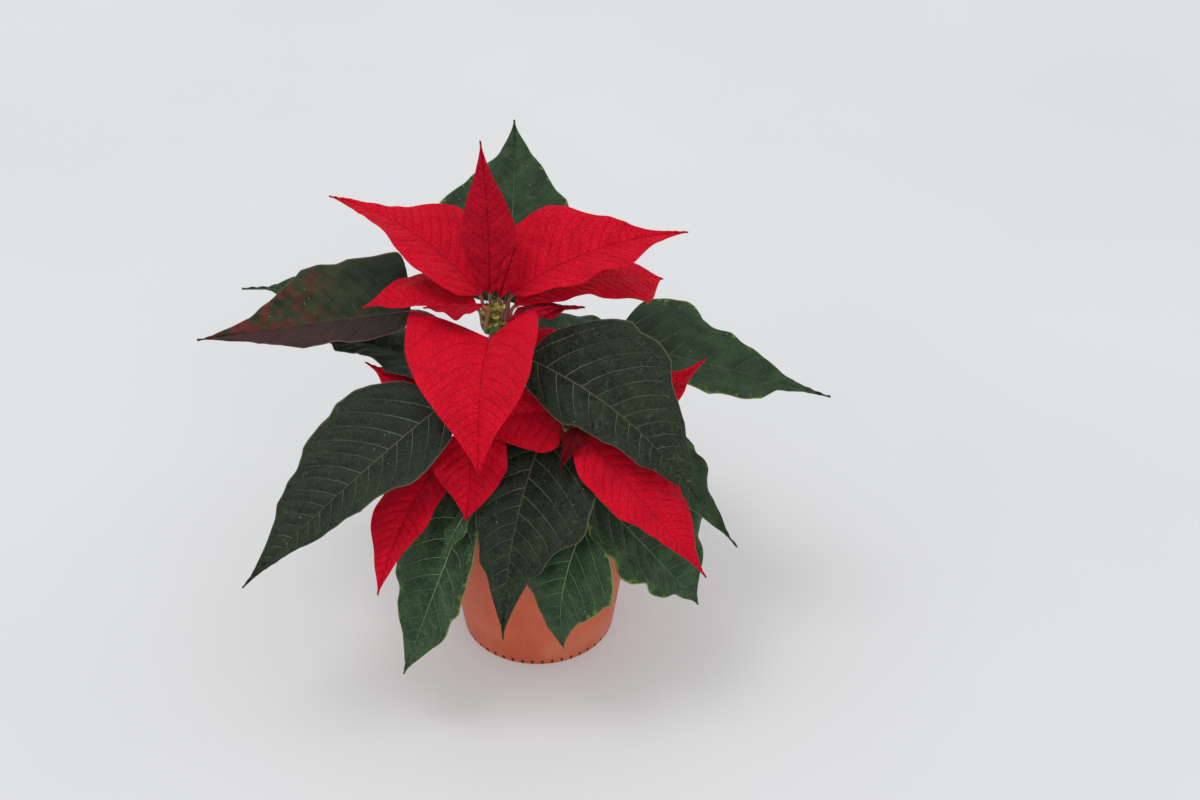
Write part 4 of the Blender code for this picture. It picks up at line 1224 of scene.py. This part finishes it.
openings = pot_openings()
pot = turned("pot_moulded", pot_profile(), POT_STEPS)
cut = pot.modifiers.new("openings", "BOOLEAN")
cut.operation = "DIFFERENCE"
cut.object = openings
pot = applied(pot)
bpy.data.objects.remove(openings)
dress(smoothed(finished(pot, pot_paint()), math.radians(35)), "pot")
print("pot faces:", len(pot.data.polygons))

# %% [markdown]
# The soil
#
# Peat is a rough surface with crumbs on it and a few white grains of perlite. The surface is a turned
# profile whose rings are lifted by noise. The crumbs are a few hundred squashed icospheres, scattered
# with a seeded draw, so the soil is the same every time.

# %% Soil and crumbs
SOIL_DROP = 1.5  # below the shoulder at the wall, and
SOIL_CROWN = 3.0  # higher in the middle
SOIL_ROUGHNESS = 1.6
SOIL_LUMPS = 7 * MM
SOIL_RINGS = 40
SOIL_STEPS = 96
SOIL_GAP = 0.3
SOIL_RADIUS = pot_outer_radius(POT_SHOULDER) - POT_WALL - 2 * SOIL_GAP
STREWN_RADIUS = pot_outer_radius(POT_SHOULDER) - POT_WALL - 3
CRUMBS = 620
PERLITE = 26


def soil_height(x, y):
    """Height of the peat over a place, in millimetres."""
    out = min(math.hypot(x, y) / SOIL_RADIUS, 1.0)
    level = POT_SHOULDER - SOIL_DROP + SOIL_CROWN * (1 - out**2)
    if out > 0.985:
        return level
    point = Vector((x * MM, y * MM, level * MM))
    rough = SOIL_ROUGHNESS * noise.noise(point / SOIL_LUMPS)
    return level + rough + 0.5 * noise.noise(point / SOIL_LUMPS * 5)


def soil_body():
    floor = POT_GROOVE_RISE + POT_WALL + SOIL_GAP
    profile = [(SOIL_RADIUS * i / SOIL_RINGS, POT_SHOULDER) for i in range(SOIL_RINGS + 1)]
    profile += [(pot_outer_radius(floor) - POT_WALL - SOIL_GAP, floor), (0, floor)]
    body = applied(turned("soil_body", profile, SOIL_STEPS))
    for vertex in body.data.vertices:
        if vertex.co.z > floor * MM * 2:
            vertex.co.z = soil_height(vertex.co.x / MM, vertex.co.y / MM) * MM
    return finished(body, soil_finish)


def grains(name, count, sizes, finish, seed):
    """Squashed lumps strewn over the peat."""
    draw = np.random.default_rng(seed)
    edit = bmesh.new()
    for _ in range(count):
        radius, angle = STREWN_RADIUS * math.sqrt(draw.uniform(0.012, 1)), draw.uniform(0, math.tau)
        x, y = radius * math.cos(angle), radius * math.sin(angle)
        size = draw.uniform(*sizes)
        squash = Matrix.Diagonal((*(size * draw.uniform(0.6, 1.2, 3)), 1))
        turn = Matrix.Rotation(draw.uniform(0, math.tau), 4, Vector(draw.normal(size=3)).normalized())
        place = Matrix.Translation((x, y, soil_height(x, y) + size * 0.2))
        shape = Matrix.Scale(MM, 4) @ place @ turn @ squash
        bmesh.ops.create_icosphere(edit, subdivisions=2, radius=1, matrix=shape)
    noise.seed_set(seed)
    for vertex in edit.verts:
        vertex.co += noise.noise_vector(vertex.co / (0.9 * MM)) * 0.25 * MM
    return finished(show(name, mesh_from(edit, name)), finish)


PEAT_TONES = (rgb(0.012, 0.007, 0.004), rgb(0.075, 0.042, 0.022))
PERLITE_TONES = (rgb(0.55, 0.53, 0.48), rgb(0.80, 0.79, 0.75))
soil_finish = stained(
    "peat_soil", 0.25, 420.0, 6.0, PEAT_TONES, (0.85, 0.95), 0.8 * MM, band=(0.35, 0.7),
    fleck=(120.0, 0.55, 0.75, 0.6, rgb(0.12, 0.07, 0.035)),
)
perlite_finish = stained("perlite_grain", 0.3, 1500.0, 3.0, PERLITE_TONES, (0.8, 0.9), 0.2 * MM)
crumbs = grains("crumbs", CRUMBS, (0.5, 1.6), soil_finish, 11)
perlite = grains("perlite", PERLITE, (0.7, 1.5), perlite_finish, 12)
soil = dress(smoothed(joined("soil_filled", [soil_body(), crumbs, perlite])), "soil")
print("soil faces:", len(soil.data.polygons))

# %% [markdown]
# Where it stands and how it is lit
#
# A plain pale floor and soft light show the plant and nothing else. The largest light hangs above and a
# little to the left, so each blade throws a soft shadow on the one below. A weaker one fills in from
# beside the camera. The camera looks down at 36 degrees from a bit over a metre away.

# %% Floor, lights and camera
FLOOR_SIZE = 8.0
FLOOR_GLOW = 0.18  # a little light of its own, as a white cloth lit from all round has
CAMERA_PLACE = (0.0311, -0.8849, 0.7785)
CAMERA_PITCH = 36.0
CAMERA_LENS = 69.0
SENSOR_WIDTH = 36.0
SKY_COLOR = rgb(0.96, 0.98, 1.0)
SKY_STRENGTH = 0.76


def area_light(name, place, target, size, energy):
    light = bpy.data.lights.new(name, "AREA")
    light.shape = "DISK"
    light.size = size
    light.energy = energy
    lamp = show(name, light)
    lamp.location = place
    lamp.rotation_euler = (Vector(target) - Vector(place)).to_track_quat("-Z", "Y").to_euler()


floor_mesh = flat_grid("floor", 1, 1)
floor_mesh.transform(Matrix.Scale(FLOOR_SIZE / 2, 4))
floor_finish = stained(
    "floor_pale", 0.2, 3.0, 3.0, (rgb(0.60, 0.60, 0.605), rgb(0.63, 0.63, 0.635)), (0.8, 0.9),
    band=(0.3, 0.7), emission_strength=FLOOR_GLOW, emission_color=rgb(1.0, 1.0, 1.0),
)
floor = finished(show("floor", floor_mesh), floor_finish)
floor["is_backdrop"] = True

area_light("light_above", (-0.8, -0.3, 3.4), (0, 0, 0.1), 1.5, 24.0)
area_light("light_front", (1.2, -3.0, 2.4), (0, 0, 0.12), 2.2, 8.0)
world = bpy.data.worlds.new("soft_sky")
world.use_nodes = True
sky = world.node_tree.nodes["Background"]
sky.inputs["Color"].default_value = SKY_COLOR
sky.inputs["Strength"].default_value = SKY_STRENGTH
bpy.context.scene.world = world
bpy.context.scene.view_settings.view_transform = "Standard"

camera_data = bpy.data.cameras.new("camera")
camera_data.lens = CAMERA_LENS
camera_data.sensor_width = SENSOR_WIDTH
camera = show("camera", camera_data)
camera.location = CAMERA_PLACE
camera.rotation_euler = (math.radians(90 - CAMERA_PITCH), 0, 0)
bpy.context.scene.camera = camera
print("camera", [round(c, 2) for c in camera.location])

# %% [markdown]
# The last cell measures the finished plant's box and prints its size beside that of the solids.

# %% Measure and finish
dressed_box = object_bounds()
boxes = {"solids": SOLID_BOX, "dressed": dressed_box}
for label, (low, high) in boxes.items():
    print(label, "size in mm:", [round((b - a) / MM, 1) for a, b in zip(low, high)])
